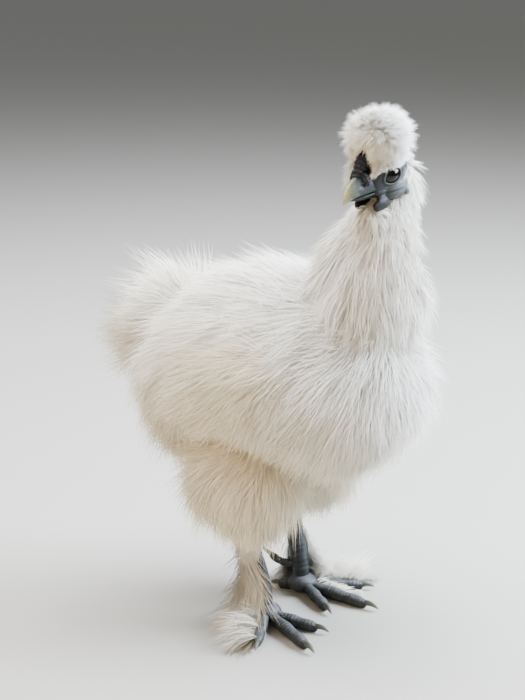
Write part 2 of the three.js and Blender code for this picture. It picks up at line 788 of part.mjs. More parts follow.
function toMesh(name) {
  const { vertProperties, triVerts } = carve(name).getMesh();
  const geometry = new THREE.BufferGeometry();
  geometry.setAttribute("position", new THREE.BufferAttribute(new Float32Array(vertProperties), 3));
  geometry.setIndex(new THREE.BufferAttribute(new Uint32Array(triVerts), 1));
  const mesh = new THREE.Mesh(geometry, materials[recipes.get(name).finish]);
  mesh.name = name;
  return mesh;
}

// The scene graph: the body carries the neck, wings, tail and legs, and the neck carries the head
const bird = new THREE.Group();
const groups = {
  body: new THREE.Group(),
  head: new THREE.Group(),
  leg_right: new THREE.Group(),
  leg_left: new THREE.Group(),
};
groups.body.position.copy(at(BODY_MIDDLE_FORWARD, 0, BODY_MIDDLE_UP));
groups.head.position.copy(at(HEAD_FORWARD, 0, HEAD_UP));
groups.head.rotation.set(0, 0, degrees(-HEAD_TURN));
groups.leg_right.position.copy(at(RIGHT_FOOT_FORWARD, FOOT_SPREAD, 0));
groups.leg_left.position.copy(at(LEFT_FOOT_FORWARD, -FOOT_SPREAD, 0));
bird.add(...Object.values(groups));
bird.updateMatrixWorld(true);

const LEG_NODES = /^(thigh|shank|toe|claw)_/;
for (const name of names) {
  const mesh = toMesh(name);
  const leg = name.endsWith("right") ? "leg_right" : "leg_left";
  const group = groups[HEAD_NODES.test(name) ? "head" : LEG_NODES.test(name) ? leg : "body"];
  mesh.geometry.applyMatrix4(group.matrixWorld.clone().invert());
  group.add(mesh);
}

// The origin is moved to the middle of the bottom of the bird's bounding box
const box = new THREE.Box3().setFromObject(bird);
bird.position.set(-(box.min.x + box.max.x) / 2, -(box.min.y + box.max.y) / 2, -box.min.z);

export default bird;
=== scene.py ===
# %% [markdown]
# # A white silkie hen
# A silkie is a small hen with a coat like fur. Its feathers have no hooks to zip their barbs together,
# so each one is a soft brush. Under the coat the skin is dark slate, and the bare face, comb, wattles,
# beak and feet show it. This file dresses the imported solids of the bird: one skin, then the coat as
# closed mesh tufts made by Geometry Nodes, then the head and the feet.

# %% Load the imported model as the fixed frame
import json
import math

import bmesh
import bpy
import numpy as np
from mathutils import Matrix, Vector

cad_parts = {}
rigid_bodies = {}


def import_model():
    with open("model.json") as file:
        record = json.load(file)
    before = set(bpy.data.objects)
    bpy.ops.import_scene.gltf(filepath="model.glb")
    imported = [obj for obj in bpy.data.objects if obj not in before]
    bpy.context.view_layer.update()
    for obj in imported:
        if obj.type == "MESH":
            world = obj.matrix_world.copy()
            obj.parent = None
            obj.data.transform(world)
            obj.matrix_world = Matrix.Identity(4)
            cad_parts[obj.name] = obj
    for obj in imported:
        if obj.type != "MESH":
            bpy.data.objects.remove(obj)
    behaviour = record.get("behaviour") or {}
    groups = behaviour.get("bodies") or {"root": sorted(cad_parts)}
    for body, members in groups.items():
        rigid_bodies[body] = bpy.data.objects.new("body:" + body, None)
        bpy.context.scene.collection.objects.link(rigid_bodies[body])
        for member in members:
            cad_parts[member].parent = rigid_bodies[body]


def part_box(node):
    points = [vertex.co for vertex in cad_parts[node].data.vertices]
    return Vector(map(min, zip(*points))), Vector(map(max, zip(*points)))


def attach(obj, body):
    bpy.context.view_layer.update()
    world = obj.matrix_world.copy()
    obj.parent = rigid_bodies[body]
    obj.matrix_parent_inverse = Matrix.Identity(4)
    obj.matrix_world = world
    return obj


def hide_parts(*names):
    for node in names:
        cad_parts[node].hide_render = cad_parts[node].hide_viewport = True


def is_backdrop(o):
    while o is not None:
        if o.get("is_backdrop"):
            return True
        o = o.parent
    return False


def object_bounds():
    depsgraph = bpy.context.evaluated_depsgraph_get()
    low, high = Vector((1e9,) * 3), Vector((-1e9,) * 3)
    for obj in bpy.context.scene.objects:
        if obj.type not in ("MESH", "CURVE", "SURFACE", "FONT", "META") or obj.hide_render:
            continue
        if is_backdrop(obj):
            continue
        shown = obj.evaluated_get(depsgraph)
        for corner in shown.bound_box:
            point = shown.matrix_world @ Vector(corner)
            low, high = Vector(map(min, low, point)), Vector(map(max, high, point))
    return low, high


for left_over in list(bpy.data.objects):
    bpy.data.objects.remove(left_over)
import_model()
cad_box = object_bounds()
print("solids from", [round(v, 3) for v in cad_box[0]], "to", [round(v, 3) for v in cad_box[1]])

# %% [markdown]
# ## Where things are
# Everything is placed from the bird's own directions: forward, right and up. The floor point that
# the sizes are counted from is found from the two eye solids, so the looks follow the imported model
# if it moves. Sizes are in millimetres where they are named, and metres once they are points.

# %% The bird's directions, and the frame of her turned head
MM = 0.001
HEAD_FORWARD = 75
HEAD_UP = 280
HEAD_TURN = 90
HEAD_NOD = 10
HEAD_SCALE = 54 / 59
EYE_FORWARD = 6
EYE_OUT = 9.6
EYE_UP = 1.8


def way(forward, right, up):
    """A direction, or a size, along the bird's forward, right and up."""
    return Vector((-right, -forward, up))


head_turned = Matrix.Rotation(math.radians(-HEAD_TURN), 4, "Z")
head_turned = head_turned @ Matrix.Rotation(math.radians(HEAD_NOD), 4, "X")
head_local = Matrix.Translation(way(HEAD_FORWARD, 0, HEAD_UP)) @ head_turned @ Matrix.Scale(HEAD_SCALE, 4)
eye_corners = [Vector(corner) for side in ("right", "left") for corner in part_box(f"eye_{side}")]
between_eyes = sum(eye_corners, Vector()) / 4
floor_point = between_eyes - head_local @ way(EYE_FORWARD, 0, EYE_UP) * MM
floor_point.z = 0
to_world = Matrix.Translation(floor_point) @ Matrix.Scale(MM, 4)
head_to_world = to_world @ head_local


def at(forward, right, up):
    """A point of the body, in metres, from millimetres."""
    return to_world @ way(forward, right, up)


def on_head(forward, right, up):
    """A point of the head, in metres, from millimetres in the head's own frame."""
    return head_to_world @ way(forward, right, up)


print("floor point", [round(v * 1000, 1) for v in floor_point])

# %% [markdown]
# ## Smooth bodies
# The hen's soft forms are lofts: a smooth line with a width, a rise and a drop at a few places on
# it. Metaballs or sculpting would give the same swelling shapes, but a loft also says where its
# start and its back are, and the coat needs that to know which way it lies.

# %% A loft as a grid of points


def smooth_line(points, shares):
    """Points on a smooth line through the given ones, at shares of its count of steps."""
    p = np.array([tuple(v) for v in points], float)
    p = np.vstack([2 * p[0] - p[1], p, 2 * p[-1] - p[-2]])
    place = np.clip(np.asarray(shares), 0, 1) * (len(points) - 1)
    step = np.minimum(place.astype(int), len(points) - 2)
    w = (place - step)[:, None]
    a, b, c, d = p[step], p[step + 1], p[step + 2], p[step + 3]
    spans = (b - a, c - b, d - c)
    knots = [np.maximum(np.sum(span**2, axis=1, keepdims=True) ** 0.25, 1e-6) for span in spans]
    slope_b = ((b - a) / knots[0] - (c - a) / (knots[0] + knots[1]) + (c - b) / knots[1]) * knots[1]
    slope_c = ((c - b) / knots[1] - (d - b) / (knots[1] + knots[2]) + (d - c) / knots[2]) * knots[1]
    return (
        (2 * w**3 - 3 * w**2 + 1) * b
        + (w**3 - 2 * w**2 + w) * slope_b
        + (3 * w**2 - 2 * w**3) * c
        + (w**3 - w**2) * slope_c
    )


def unit(v):
    """Vectors of length one."""
    return v / np.maximum(np.linalg.norm(v, axis=-1, keepdims=True), 1e-12)


class Loft:
    """A body along a spine. Each size is (half width, rise, drop). Points are in millimetres."""

    def __init__(self, spine, sizes, up=None, blunt=2.0, rings=24, sides=32):
        self.spine, self.sizes, self.blunt, self.rings, self.sides = spine, sizes, blunt, rings, sides
        self.up = np.array(up if up else (0, 0, 1), float)

    def grid(self, grow=0.0):
        """Points as rings x sides, the share along the spine and the angle round it."""
        t = np.arange(self.rings + 1) / self.rings
        angle = np.arange(self.sides) / self.sides * 2 * np.pi
        cosine = -np.cos(np.pi * t)
        roundness = np.maximum(1 - np.abs(cosine) ** self.blunt, 0) ** (1 / self.blunt)
        share = (1 + cosine) / 2
        middle = smooth_line(self.spine, share)
        tangent = unit(smooth_line(self.spine, share + 1e-3) - smooth_line(self.spine, share - 1e-3))
        side = unit(np.cross(tangent, self.up))
        rise = np.cross(side, tangent)
        size = smooth_line(self.sizes, share)
        height = np.where(np.sin(angle)[None, :] > 0, size[:, 1:2], size[:, 2:3]) + grow
        out = (size[:, 0:1] + grow) * roundness[:, None] * np.cos(angle)[None, :]
        over = height * roundness[:, None] * np.sin(angle)[None, :]
        points = (
            (middle + grow * cosine[:, None] * tangent)[:, None]
            + out[..., None] * side[:, None]
            + over[..., None] * rise[:, None]
        )
        return points, t, angle


def grid_mesh(name, points, place=to_world):
    """A closed mesh from a grid of rings, with its two ends drawn to points, placed in the world."""
    rings, sides = points.shape[0] - 1, points.shape[1]
    inner = points[1:-1].reshape(-1, 3)
    ends = [points[0].mean(0), points[-1].mean(0)]
    verts = np.vstack([inner, ends])
    first, last = len(inner), len(inner) + 1
    ring = np.arange(sides)
    faces = []
    for k in range(rings - 2):
        here, after = k * sides + ring, k * sides + np.roll(ring, -1)
        faces += np.stack([here, after, after + sides, here + sides], 1).tolist()
    final = (rings - 2) * sides
    faces += [[first, (i + 1) % sides, i] for i in range(sides)]
    faces += [[last, final + i, final + (i + 1) % sides] for i in range(sides)]
    mesh = bpy.data.meshes.new(name)
    mesh.from_pydata(verts.tolist(), [], faces)
    mesh.transform(place)
    shape = bmesh.new()
    shape.from_mesh(mesh)
    bmesh.ops.recalc_face_normals(shape, faces=shape.faces)
    shape.to_mesh(mesh)
    shape.free()
    mesh.shade_smooth()
    return mesh


def as_object(mesh):
    """A new object in the scene that shows a mesh."""
    made = bpy.data.objects.new(mesh.name, mesh)
    bpy.context.scene.collection.objects.link(made)
    return made


def keep(mesh, **layers):
    """Writes numbers on a mesh's points: a float or a vector for each, or one float for all."""
    for name, given in layers.items():
        values = np.asarray(given, np.float32)
        kind, field = ("FLOAT_VECTOR", "vector") if values.ndim > 1 else ("FLOAT", "value")
        layer = mesh.attributes.get(name)
        if layer is None:
            layer = mesh.attributes.new(name, kind, "POINT")
        whole = np.broadcast_to(values, (len(mesh.vertices), *values.shape[1:]))
        layer.data.foreach_set(field, whole.ravel())


def read(items, field="vector", wide=3):
    """What each of a mesh's items says, as an array."""
    values = np.empty(len(items) * wide, np.float32)
    items.foreach_get(field, values)
    return values.reshape(-1, wide)


def one_material(mesh, material):
    """Gives a mesh one material, on all of its faces."""
    mesh.materials.clear()
    mesh.materials.append(material)
    mesh.polygons.foreach_set("material_index", np.zeros(len(mesh.polygons), np.int32))


def finished(made):
    """The object with its modifiers applied to its mesh."""
    shown = bpy.data.meshes.new_from_object(made.evaluated_get(bpy.context.evaluated_depsgraph_get()))
    shown.name = made.name
    made.modifiers.clear()
    made.data = shown
    return made


def joined(name, meshes):
    """One object holding all these meshes."""
    shape = bmesh.new()
    for mesh in meshes:
        shape.from_mesh(mesh)
    whole = bpy.data.meshes.new(name)
    shape.to_mesh(whole)
    shape.free()
    return as_object(whole)


def melted(made, voxel, rounds=4):
    """The object's pieces run together into one closed skin, and smoothed."""
    remesh = made.modifiers.new("run together", "REMESH")
    remesh.mode, remesh.voxel_size, remesh.use_smooth_shade = "VOXEL", voxel, True
    smooth = made.modifiers.new("smooth", "SMOOTH")
    smooth.factor, smooth.iterations = 0.5, rounds
    return finished(made)


def combine(made, other, operation):
    """Joins another closed object to this one, or cuts it out, and removes the other."""
    step = made.modifiers.new("combine", "BOOLEAN")
    step.object, step.operation, step.solver = other, operation, "MANIFOLD"
    finished(made)
    bpy.data.objects.remove(other)


print("a loft of 24 rings and 32 sides has", 24 * 32, "faces")

# %% [markdown]
# ## The body under the coat
# The solids are the coat's own outline: a core, and locks out to the tips. The skin lies deeper, at
# the foot of the down, so each loft here is a solid's core made smaller by the core's depth. Only the
# base of the neck and the top of the thigh are a little fuller, to fill the corners at the body. The
# lofts are run together by a voxel remesh, as flesh has no seams between its parts.

# %% Lofts of the body, in about the sizes that the solids have
MIDDLE_FORWARD, MIDDLE_UP = 3, 152
HALF_LENGTH, HALF_WIDTH, HALF_DEPTH = 96.9, 67, 64
REARWARD = way(-1, 0, 0)
TORSO_SHAPE = ((0.9, 0.84, 1.16), (1, 0.94, 1.22), (1, 1, 1), (0.97, 1.06, 0.92), (0.92, 1.06, 0.86))
torso = Loft(
    spine=[
        way(MIDDLE_FORWARD + share * HALF_LENGTH, 0, MIDDLE_UP + rise)
        for share, rise in ((-1, -2), (-0.5, -3), (0, 0), (0.5, 3), (1, 13))
    ],
    sizes=[(HALF_WIDTH * wide, HALF_DEPTH * above, HALF_DEPTH * below) for wide, above, below in TORSO_SHAPE],
    blunt=2.15,
    rings=44,
    sides=56,
)
NECK_HALF = 14.5
NECK_SHAPE = ((2.8, 2.9, 2.75), (1.95, 2.4, 2), (1.3, 1.95, 1.3), (1.05, 1.3, 0.95), (0.95, 0.95, 0.9))
neck = Loft(
    spine=[
        way(HEAD_FORWARD - 22, 0, MIDDLE_UP + 28),
        way(HEAD_FORWARD - 6, 0, HEAD_UP - 64),
        way(HEAD_FORWARD, -1, HEAD_UP - 38),
        way(HEAD_FORWARD - 1, -13, HEAD_UP - 14),
        way(HEAD_FORWARD - 1, -24, HEAD_UP + 8),
    ],
    sizes=[[NECK_HALF * share for share in row] for row in NECK_SHAPE],
    up=REARWARD,
    blunt=3,
    rings=40,
    sides=48,
)
throat = Loft(
    spine=[way(70, 0, 220), way(73, 4, 238), way(75, 8, 252), way(75, 10, 264)],
    sizes=[[half] * 3 for half in (17, 13, 9.5, 6)],
    up=REARWARD,
    blunt=2.6,
)
tail = Loft(
    spine=[way(-62, 0, 163), way(-84, 0, 173), way(-106, 0, 182)],
    sizes=[(38, 30, 40), (34, 28, 33), (22, 19, 21)],
    blunt=2.2,
    sides=40,
)


def wing(side):
    """The flesh of a folded wing, which only just swells the flank."""
    line = ((50, 47, 168), (32, 54, 165), (4, 56, 158), (-32, 50, 146))
    return Loft(
        spine=[way(forward, side * out, up) for forward, out, up in line],
        sizes=[(10, 5, 16), (17, 6, 16), (18, 6, 16), (11, 5, 16)],
        up=way(0, side, 0),
        blunt=2.3,
    )


FEET = {"right": {"side": 1, "forward": 12, "turn": 18}, "left": {"side": -1, "forward": 1, "turn": 3}}
FOOT_SPREAD = 25
HOCK_UP = 60
HOCK_BACK = 14


def thigh(side, forward):
    """The feathered thigh, from the body down to the hock."""
    return Loft(
        spine=[
            way(forward * 0.4 + 6, side * 40, 124),
            way(forward * 0.7 + 2, side * 35, 86),
            way(forward - HOCK_BACK + 2, side * 29, HOCK_UP - 4),
        ],
        sizes=[(28, 45, 36), (25, 39, 26), (11, 15, 11)],
        up=REARWARD,
        blunt=2.4,
    )


def shank(side, forward):
    """The bare leg, from the hock to the ball of the foot."""
    return Loft(
        spine=[
            way(forward - HOCK_BACK, side * (FOOT_SPREAD + 3), HOCK_UP + 4),
            way(forward - HOCK_BACK + 4, side * (FOOT_SPREAD + 2), HOCK_UP - 14),
            way(forward - 4, side * FOOT_SPREAD, 26),
            way(forward, side * FOOT_SPREAD, 4),
        ],
        sizes=[(6.6, 7, 7), (5.4, 6, 5.6), (5.2, 5.8, 5.4), (6.2, 6.4, 6.4)],
        up=REARWARD,
        blunt=3,
        rings=110,
        sides=28,
    )


skull = Loft(
    spine=[way(-18, 0, 3), way(-8, 0, 3.5), way(4, 0, 2.5), way(16, 0, -1.5), way(21, 0, -3)],
    sizes=[(12.5, 12, 14), (14, 14.2, 15.5), (13.8, 13.6, 14.5), (9.6, 8.2, 8.6), (8, 6.4, 6.6)],
    blunt=2.3,
    rings=48,
    sides=64,
)
crest = Loft(
    spine=[way(-18, 0, 16), way(-5, 0, 20.5), way(7, 0, 20.5), way(17, 0, 17)],
    sizes=[(15, 15, 10), (17, 17, 12), (17, 16.5, 12), (13, 13, 9)],
    blunt=2.2,
    rings=36,
    sides=48,
)

# How deep the skin lies under the core of the solids. The wing's flesh and the throat lie at its face.
BODY_INSET, NECK_INSET, THIGH_INSET = 9, 4.5, 6
beds = {
    "torso": (torso, -BODY_INSET, to_world),
    "neck": (neck, -NECK_INSET, to_world),
    "throat": (throat, 0, to_world),
    "tail": (tail, -BODY_INSET, to_world),
    "crest": (crest, -NECK_INSET, head_to_world),
    "skull": (skull, 0, head_to_world),
}
for label, foot in FEET.items():
    beds[f"wing_{label}"] = (wing(foot["side"]), 0, to_world)
    beds[f"thigh_{label}"] = (thigh(foot["side"], foot["forward"]), -THIGH_INSET, to_world)
under_coat = [
    grid_mesh(name, loft.grid(inset)[0], place)
    for name, (loft, inset, place) in beds.items()
    if name != "skull"
]
SKIN_VOXEL = 2
skin = melted(joined("skin", under_coat), SKIN_VOXEL * MM, rounds=10)
print("the skin under the coat has", len(skin.data.polygons), "faces")

# %% [markdown]
# ## The bare face
# A silkie's face is bare from the beak to the ear, with thick lids round a large eye and a full
# cheek behind the gape. The skull, cheeks and lids are run together at half a millimetre, so that
# they blend as skin does, and each eye then gets its almond opening by a boolean cut.

# %% Skull, cheeks and lids as one skin
SIDES = {"right": 1, "left": -1}
EYE_MIDDLE = 3.6
EYE_RADIUS = 8
EYE_DEPTH = 6.3
EYE_HALF_LONG, EYE_HALF_TALL = 6.1, 4.2
EYE_SLANT = 16
EYE_GAZE = 22


def ball(name, middle, half, sides=32, rings=20, place=head_to_world):
    """A closed ball, stretched along forward, right and up."""
    down = np.linspace(0, np.pi, rings + 1)[:, None]
    around = np.arange(sides)[None, :] * 2 * np.pi / sides
    forward = middle[0] + half[0] * np.sin(down) * np.cos(around)
    right = middle[1] + half[1] * np.sin(down) * np.sin(around)
    up = middle[2] + half[2] * np.cos(down) * np.ones_like(around)
    return grid_mesh(name, np.stack([-right, -forward, up], -1), place)


def eye_opening(side):
    """An almond rod that points out of the eye, to cut the opening between its lids."""
    turn = np.arange(48) * 2 * np.pi / 48
    long = EYE_HALF_LONG * np.cos(turn)
    tall = EYE_HALF_TALL * np.sin(turn) * (1 - 0.25 * np.cos(turn) ** 4)
    slant, gaze = math.radians(EYE_SLANT), math.radians(EYE_GAZE)
    ahead = long * math.cos(slant) + tall * math.sin(slant)
    up = EYE_UP - long * math.sin(slant) + tall * math.cos(slant)
    rings = []
    for depth, width in ((1, 0), (1.01, 1), (11, 1.1), (11.01, 0)):
        forward = EYE_MIDDLE + width * ahead * math.cos(gaze) + depth * math.sin(gaze)
        out = EYE_DEPTH - width * ahead * math.sin(gaze) + depth * math.cos(gaze)
        rings.append(np.stack([-side * out, -forward, EYE_UP + width * (up - EYE_UP)], -1))
    return grid_mesh("eye opening", np.array(rings), head_to_world)


flesh = [grid_mesh("skull", skull.grid(-0.2)[0], head_to_world)]
for side in SIDES.values():
    flesh.append(ball("lids", (EYE_MIDDLE, side * EYE_DEPTH, EYE_UP), [EYE_RADIUS + 0.7] * 3))
    flesh.append(ball("cheek", (-2.5, side * 5, -7.5), (12.5, 8.2, 8.8)))
    flesh.append(ball("gape", (9.5, side * 5.6, -7.2), (7.5, 3.4, 3)))
FACE_VOXEL, COMB_VOXEL, WATTLE_VOXEL = 0.5, 0.3, 0.4
face = melted(joined("face", flesh), FACE_VOXEL * MM, rounds=5)
for side in SIDES.values():
    combine(face, as_object(eye_opening(side)), "DIFFERENCE")
print("the face has", len(face.data.polygons), "faces")

# %% [markdown]
# ## Folds of the face
# Fine folds run from the gape under the eye to the ear, and the ear is a small pit, painted dark as shade.
# Each fold is a shallow wave moved into the mesh along its normals, at the real spacing of a millimetre or
# so. The groove round the lids and the gape line are painted darker too, as shade.

# %% Folds, the ear pit, and the face's colouring with painted shade in its pits and creases
EAR = (-10, 12.8, -9)
FOLD_HEIGHT = 0.34


def on_points(mesh):
    """A head mesh's points in the head's own forward, right and up, in millimetres."""
    back = np.array(head_to_world.inverted())
    local = read(mesh.vertices, "co") @ back[:3, :3].T + back[:3, 3]
    return -local[:, 1], -local[:, 0], local[:, 2]


def near(points, middle, half):
    """One at a place, falling smoothly to nothing around it."""
    squares = sum(((p - m) / h) ** 2 for p, m, h in zip(points, middle, half))
    return np.exp(-squares)


def from_eye(forward, right, up):
    """How far a point is from the eye's middle, where one is the edge of the lids."""
    gaze, slant = math.radians(EYE_GAZE), math.radians(EYE_SLANT)
    ahead = (forward - EYE_MIDDLE) * math.cos(gaze) - (np.abs(right) - EYE_DEPTH) * math.sin(gaze)
    long = ahead * math.cos(slant) - (up - EYE_UP) * math.sin(slant)
    tall = ahead * math.sin(slant) + (up - EYE_UP) * math.cos(slant)
    return np.hypot(long / EYE_HALF_LONG, tall / EYE_HALF_TALL)


def pushed(mesh, distance):
    """The mesh's points moved along their normals, in head millimetres."""
    moved = read(mesh.vertices, "co") + read(mesh.vertex_normals) * (distance * HEAD_SCALE * MM)[:, None]
    mesh.vertices.foreach_set("co", moved.ravel())
    mesh.update()


forward, right, up = on_points(face.data)
out_to_side = np.abs(right)
lid_edge = from_eye(forward, right, up)
cheek = near((forward, up), (-2, -6), (9, 6)) * np.clip((out_to_side - 6) / 3, 0, 1)
fold = np.sin(2 * np.pi * (lid_edge * 3.1 + 0.12 * np.sin(forward * 1.3) + 0.1 * np.sin(up * 2.1)))
ear = near((forward, out_to_side, up), EAR, (1.7, 3, 2.6))
gape_line = near((forward, up), (7, -8.4 + 0 * forward), (8, 0.7)) * (out_to_side > 4)
rim = np.exp(-(((lid_edge - 1.06) / 0.1) ** 2)) * (out_to_side > 5)
groove = np.exp(-(((lid_edge - 1.33) / 0.1) ** 2)) * (out_to_side > 5)
wrinkles = FOLD_HEIGHT * fold * cheek * np.clip(lid_edge - 1.3, 0, 1)
pushed(face.data, wrinkles + 0.45 * rim - 0.3 * groove - 1.5 * ear - 0.5 * gape_line)
lore = near((forward, up), (19, -3), (10, 8))
# dark is painted shade in the ear pit, the groove round the lids and the gape line, and the skin's own darker
# slate at the lore
dark = np.clip(1.1 * ear + 0.75 * lore + 0.7 * groove + 0.6 * gape_line - 0.3 * rim, 0, 1)
pale = np.clip(1.1 * cheek * (0.55 + 0.45 * fold) + 0.15 * rim, 0, 1) * (1 - dark)
keep(face.data, coated=0, dark=dark, pale=pale)
keep(skin.data, coated=1, dark=0, pale=0)
print("folds move the face by up to", round(float(FOLD_HEIGHT * cheek.max()), 2), "mm")

# %% [markdown]
# ## Finishes
# Every colour is an sRGB hex value that one function turns to the linear values Blender works in, and
# one small function adds a node with its settings and links. The coat's colour follows each barb from
# a darker, creamier root, painted as the shade deep in the coat, to its white tip. The same finish
# covers every tuft on the bird.

# %% Colours, nodes and the finish of the down


def linear(code):
    """Linear RGBA from an sRGB hex colour."""
    parts = [int(code[i : i + 2], 16) / 255 for i in (1, 3, 5)]
    return (*[c / 12.92 if c <= 0.04045 else ((c + 0.055) / 1.055) ** 2.4 for c in parts], 1)


def add(tree, kind, links=None, stops=(), **settings):
    """A new node of a tree, with its settings, and with sockets linked or given a value."""
    made = tree.nodes.new(kind)
    for key, value in settings.items():
        setattr(made, key, value)
    for socket, source in (links or {}).items():
        if isinstance(source, bpy.types.NodeSocket):
            tree.links.new(source, made.inputs[socket])
        else:
            made.inputs[socket].default_value = source
    for number, (place, code) in enumerate(stops):
        bands = made.color_ramp.elements
        band = bands[number] if number < len(bands) else bands.new(place)
        band.position, band.color = place, linear(code)
    return made


def new_finish(name, **values):
    """A material with one Principled shader, and that shader."""
    made = bpy.data.materials.new(name)
    made.use_nodes = True
    shader = made.node_tree.nodes["Principled BSDF"]
    for socket, value in values.items():
        shader.inputs[socket.replace("_", " ")].default_value = value
    return made, made.node_tree, shader


# Silkie down: keratin barbs with no hooks, matt, so that light softens in it
down, tree, shader = new_finish("silkie down", Roughness=0.85, IOR=1.5, Sheen_Weight=0.2, Sheen_Roughness=0.5)
along, tone, warm = (
    add(tree, "ShaderNodeAttribute", attribute_name=name).outputs["Fac"] for name in ("along", "tone", "warm")
)
# Both ramps darken towards the root, as painted shade deep in the coat. The cream ramp is creamier and darker
# all along, and warm mixes it in: partly a cream tint of the down, partly painted shade where the body turns
# away from the light.
white_with_root_shade = add(tree, "ShaderNodeValToRGB", {0: along}, stops=((0, "#ded8c6"), (0.4, "#f3f0e6"), (1, "#fefdf8")))
cream_and_shade_ramp = add(tree, "ShaderNodeValToRGB", {0: along}, stops=((0, "#b3a27a"), (0.4, "#d8c8a2"), (1, "#eee0c0")))
links = {0: warm, 6: white_with_root_shade.outputs[0], 7: cream_and_shade_ramp.outputs[0]}
tint_and_shade = add(tree, "ShaderNodeMix", links, data_type="RGBA").outputs[2]
shade = add(tree, "ShaderNodeMapRange", {0: tone, 3: 0.93, 4: 1.03}).outputs[0]
toned = add(tree, "ShaderNodeVectorMath", {0: tint_and_shade, "Scale": shade}, operation="SCALE").outputs[0]
tree.links.new(toned, shader.inputs["Base Color"])
print("down is made of", len(tree.nodes), "nodes")

# %% [markdown]
# ## Bare skin, comb, horn and scales
# A silkie is dark under its coat. Living skin is a little oily, so its gloss is soft and broken by
# pores about half a millimetre apart. The comb is grained like a mulberry. Beak and claws are horn,
# which grows in layers, so it is smoother and paler at the tip. The legs wear small glossy scales.

# %% Skin, comb and lobe
PORES = ("ShaderNodeTexVoronoi", "Distance")
FIBRES = ("ShaderNodeTexNoise", "Fac")


def living(name, gloss, mottle, stops, grain, relief, tints=(), tip_streaks=None, raised=False):
    """A finish with a mottled colour, tinted where the mesh's numbers say, and a grain in relief.

    gloss is roughness and specular level, mottle and grain are a texture's scale and detail, and
    relief is the bump's strength and its depth in metres.
    """
    made, tree, shader = new_finish(name, Roughness=gloss[0], Specular_IOR_Level=gloss[1])
    place = add(tree, "ShaderNodeTexCoord").outputs["Object"]
    links = {"Vector": place, "Scale": mottle[0], "Detail": mottle[1]}
    spots = add(tree, "ShaderNodeTexNoise", links).outputs["Fac"]
    share = spots
    if tip_streaks:
        tip = add(tree, "ShaderNodeAttribute", attribute_name="tip").outputs["Fac"]
        links = {0: spots, 1: tip_streaks[0], 2: tip_streaks[1]}
        wavy = add(tree, "ShaderNodeMath", links, operation="MULTIPLY_ADD").outputs[0]
        share = add(tree, "ShaderNodeMath", {0: tip, 1: wavy}, operation="ADD").outputs[0]
    colour = add(tree, "ShaderNodeValToRGB", {0: share}, stops=stops).outputs[0]
    for number, code, patchy in tints:
        part = add(tree, "ShaderNodeAttribute", attribute_name=number).outputs["Fac"]
        if patchy:
            part = add(tree, "ShaderNodeMath", {0: part, 1: spots}, operation="MULTIPLY").outputs[0]
        links = {0: part, 6: colour, 7: linear(code)}
        colour = add(tree, "ShaderNodeMix", links, data_type="RGBA").outputs[2]
    tree.links.new(colour, shader.inputs["Base Color"])
    (kind, field), scale, detail = grain
    links = {"Vector": place, "Scale": scale, "Detail": detail}
    links = {"Height": add(tree, kind, links).outputs[field], "Strength": relief[0], "Distance": relief[1]}
    bump = add(tree, "ShaderNodeBump", links, invert=raised)
    tree.links.new(bump.outputs[0], shader.inputs["Normal"])
    return made


# Face skin: slate, with painted shade in its pits and creases, darker at the lore, paler on the cheek's
# folds, and cream under the coat. Its pores are drawn 0.6 mm apart.
hide = living(
    "slate skin",
    gloss=(0.6, 0.25),
    mottle=(420.0, 4.0),
    stops=((0.3, "#202426"), (0.7, "#33393b")),
    grain=(PORES, 1600.0, 0.0),
    relief=(0.5, 0.00012),
    tints=(("pale", "#72787b", False), ("dark", "#15191a", False), ("coated", "#e6dfcd", False)),
)
# Comb and wattle skin: nearly black plum, with a grain of about 0.7 mm
mulberry = living(
    "mulberry comb skin",
    gloss=(0.5, 0.2),
    mottle=(300.0, 5.0),
    stops=((0.3, "#0d0b0d"), (0.55, "#171418"), (0.8, "#262228")),
    grain=(PORES, 1400.0, 0.0),
    relief=(0.7, 0.0002),
)
# Ear lobe skin: dull blue-grey, with wrinkles of about half a millimetre
lobe = living(
    "pale blue ear lobe skin",
    gloss=(0.6, 0.25),
    mottle=(500.0, 4.0),
    stops=((0.3, "#3f4e54"), (0.7, "#5f7177")),
    grain=(FIBRES, 1800.0, 2.0),
    relief=(0.5, 0.0002),
)
print("three skins")

# %% Horn of the beak and claws, scales of the legs, and the eye
# Beak horn: layered keratin with a soft polish, grey-green with a straw-coloured tip and ridge
beak_horn = living(
    "beak horn",
    gloss=(0.45, 0.22),
    mottle=(700.0, 5.0),
    stops=((0.0, "#151717"), (0.42, "#232726"), (0.7, "#575a4b"), (1.0, "#a9a27a")),
    grain=(FIBRES, 700.0, 5.0),
    relief=(0.25, 0.0002),
    tip_streaks=(0.35, -0.17),
)
# Claw horn: worn and dusty, grey at the root and paler at the blunt tip
claw_horn = living(
    "worn claw horn",
    gloss=(0.5, 0.3),
    mottle=(900.0, 4.0),
    stops=((0, "#232628"), (0.5, "#4a4a46"), (1, "#7a766a")),
    grain=(FIBRES, 900.0, 4.0),
    relief=(0.3, 0.0002),
    tip_streaks=(0.0, 0.0),
)
# Leg scales: hard slate plates, paler grey in patches on the faces that turn upward, with dark joints
# between them, and small round scales about 1.6 mm across at the sides and back of the leg
scale = living(
    "slate leg scales",
    gloss=(0.5, 0.25),
    mottle=(260.0, 5.0),
    stops=((0.3, "#171b1d"), (0.7, "#31373a")),
    grain=(PORES, 620.0, 0.0),
    relief=(0.6, 0.0004),
    tints=(("dust", "#74757a", True), ("joint", "#0b0d0e", False)),
    raised=True,
)
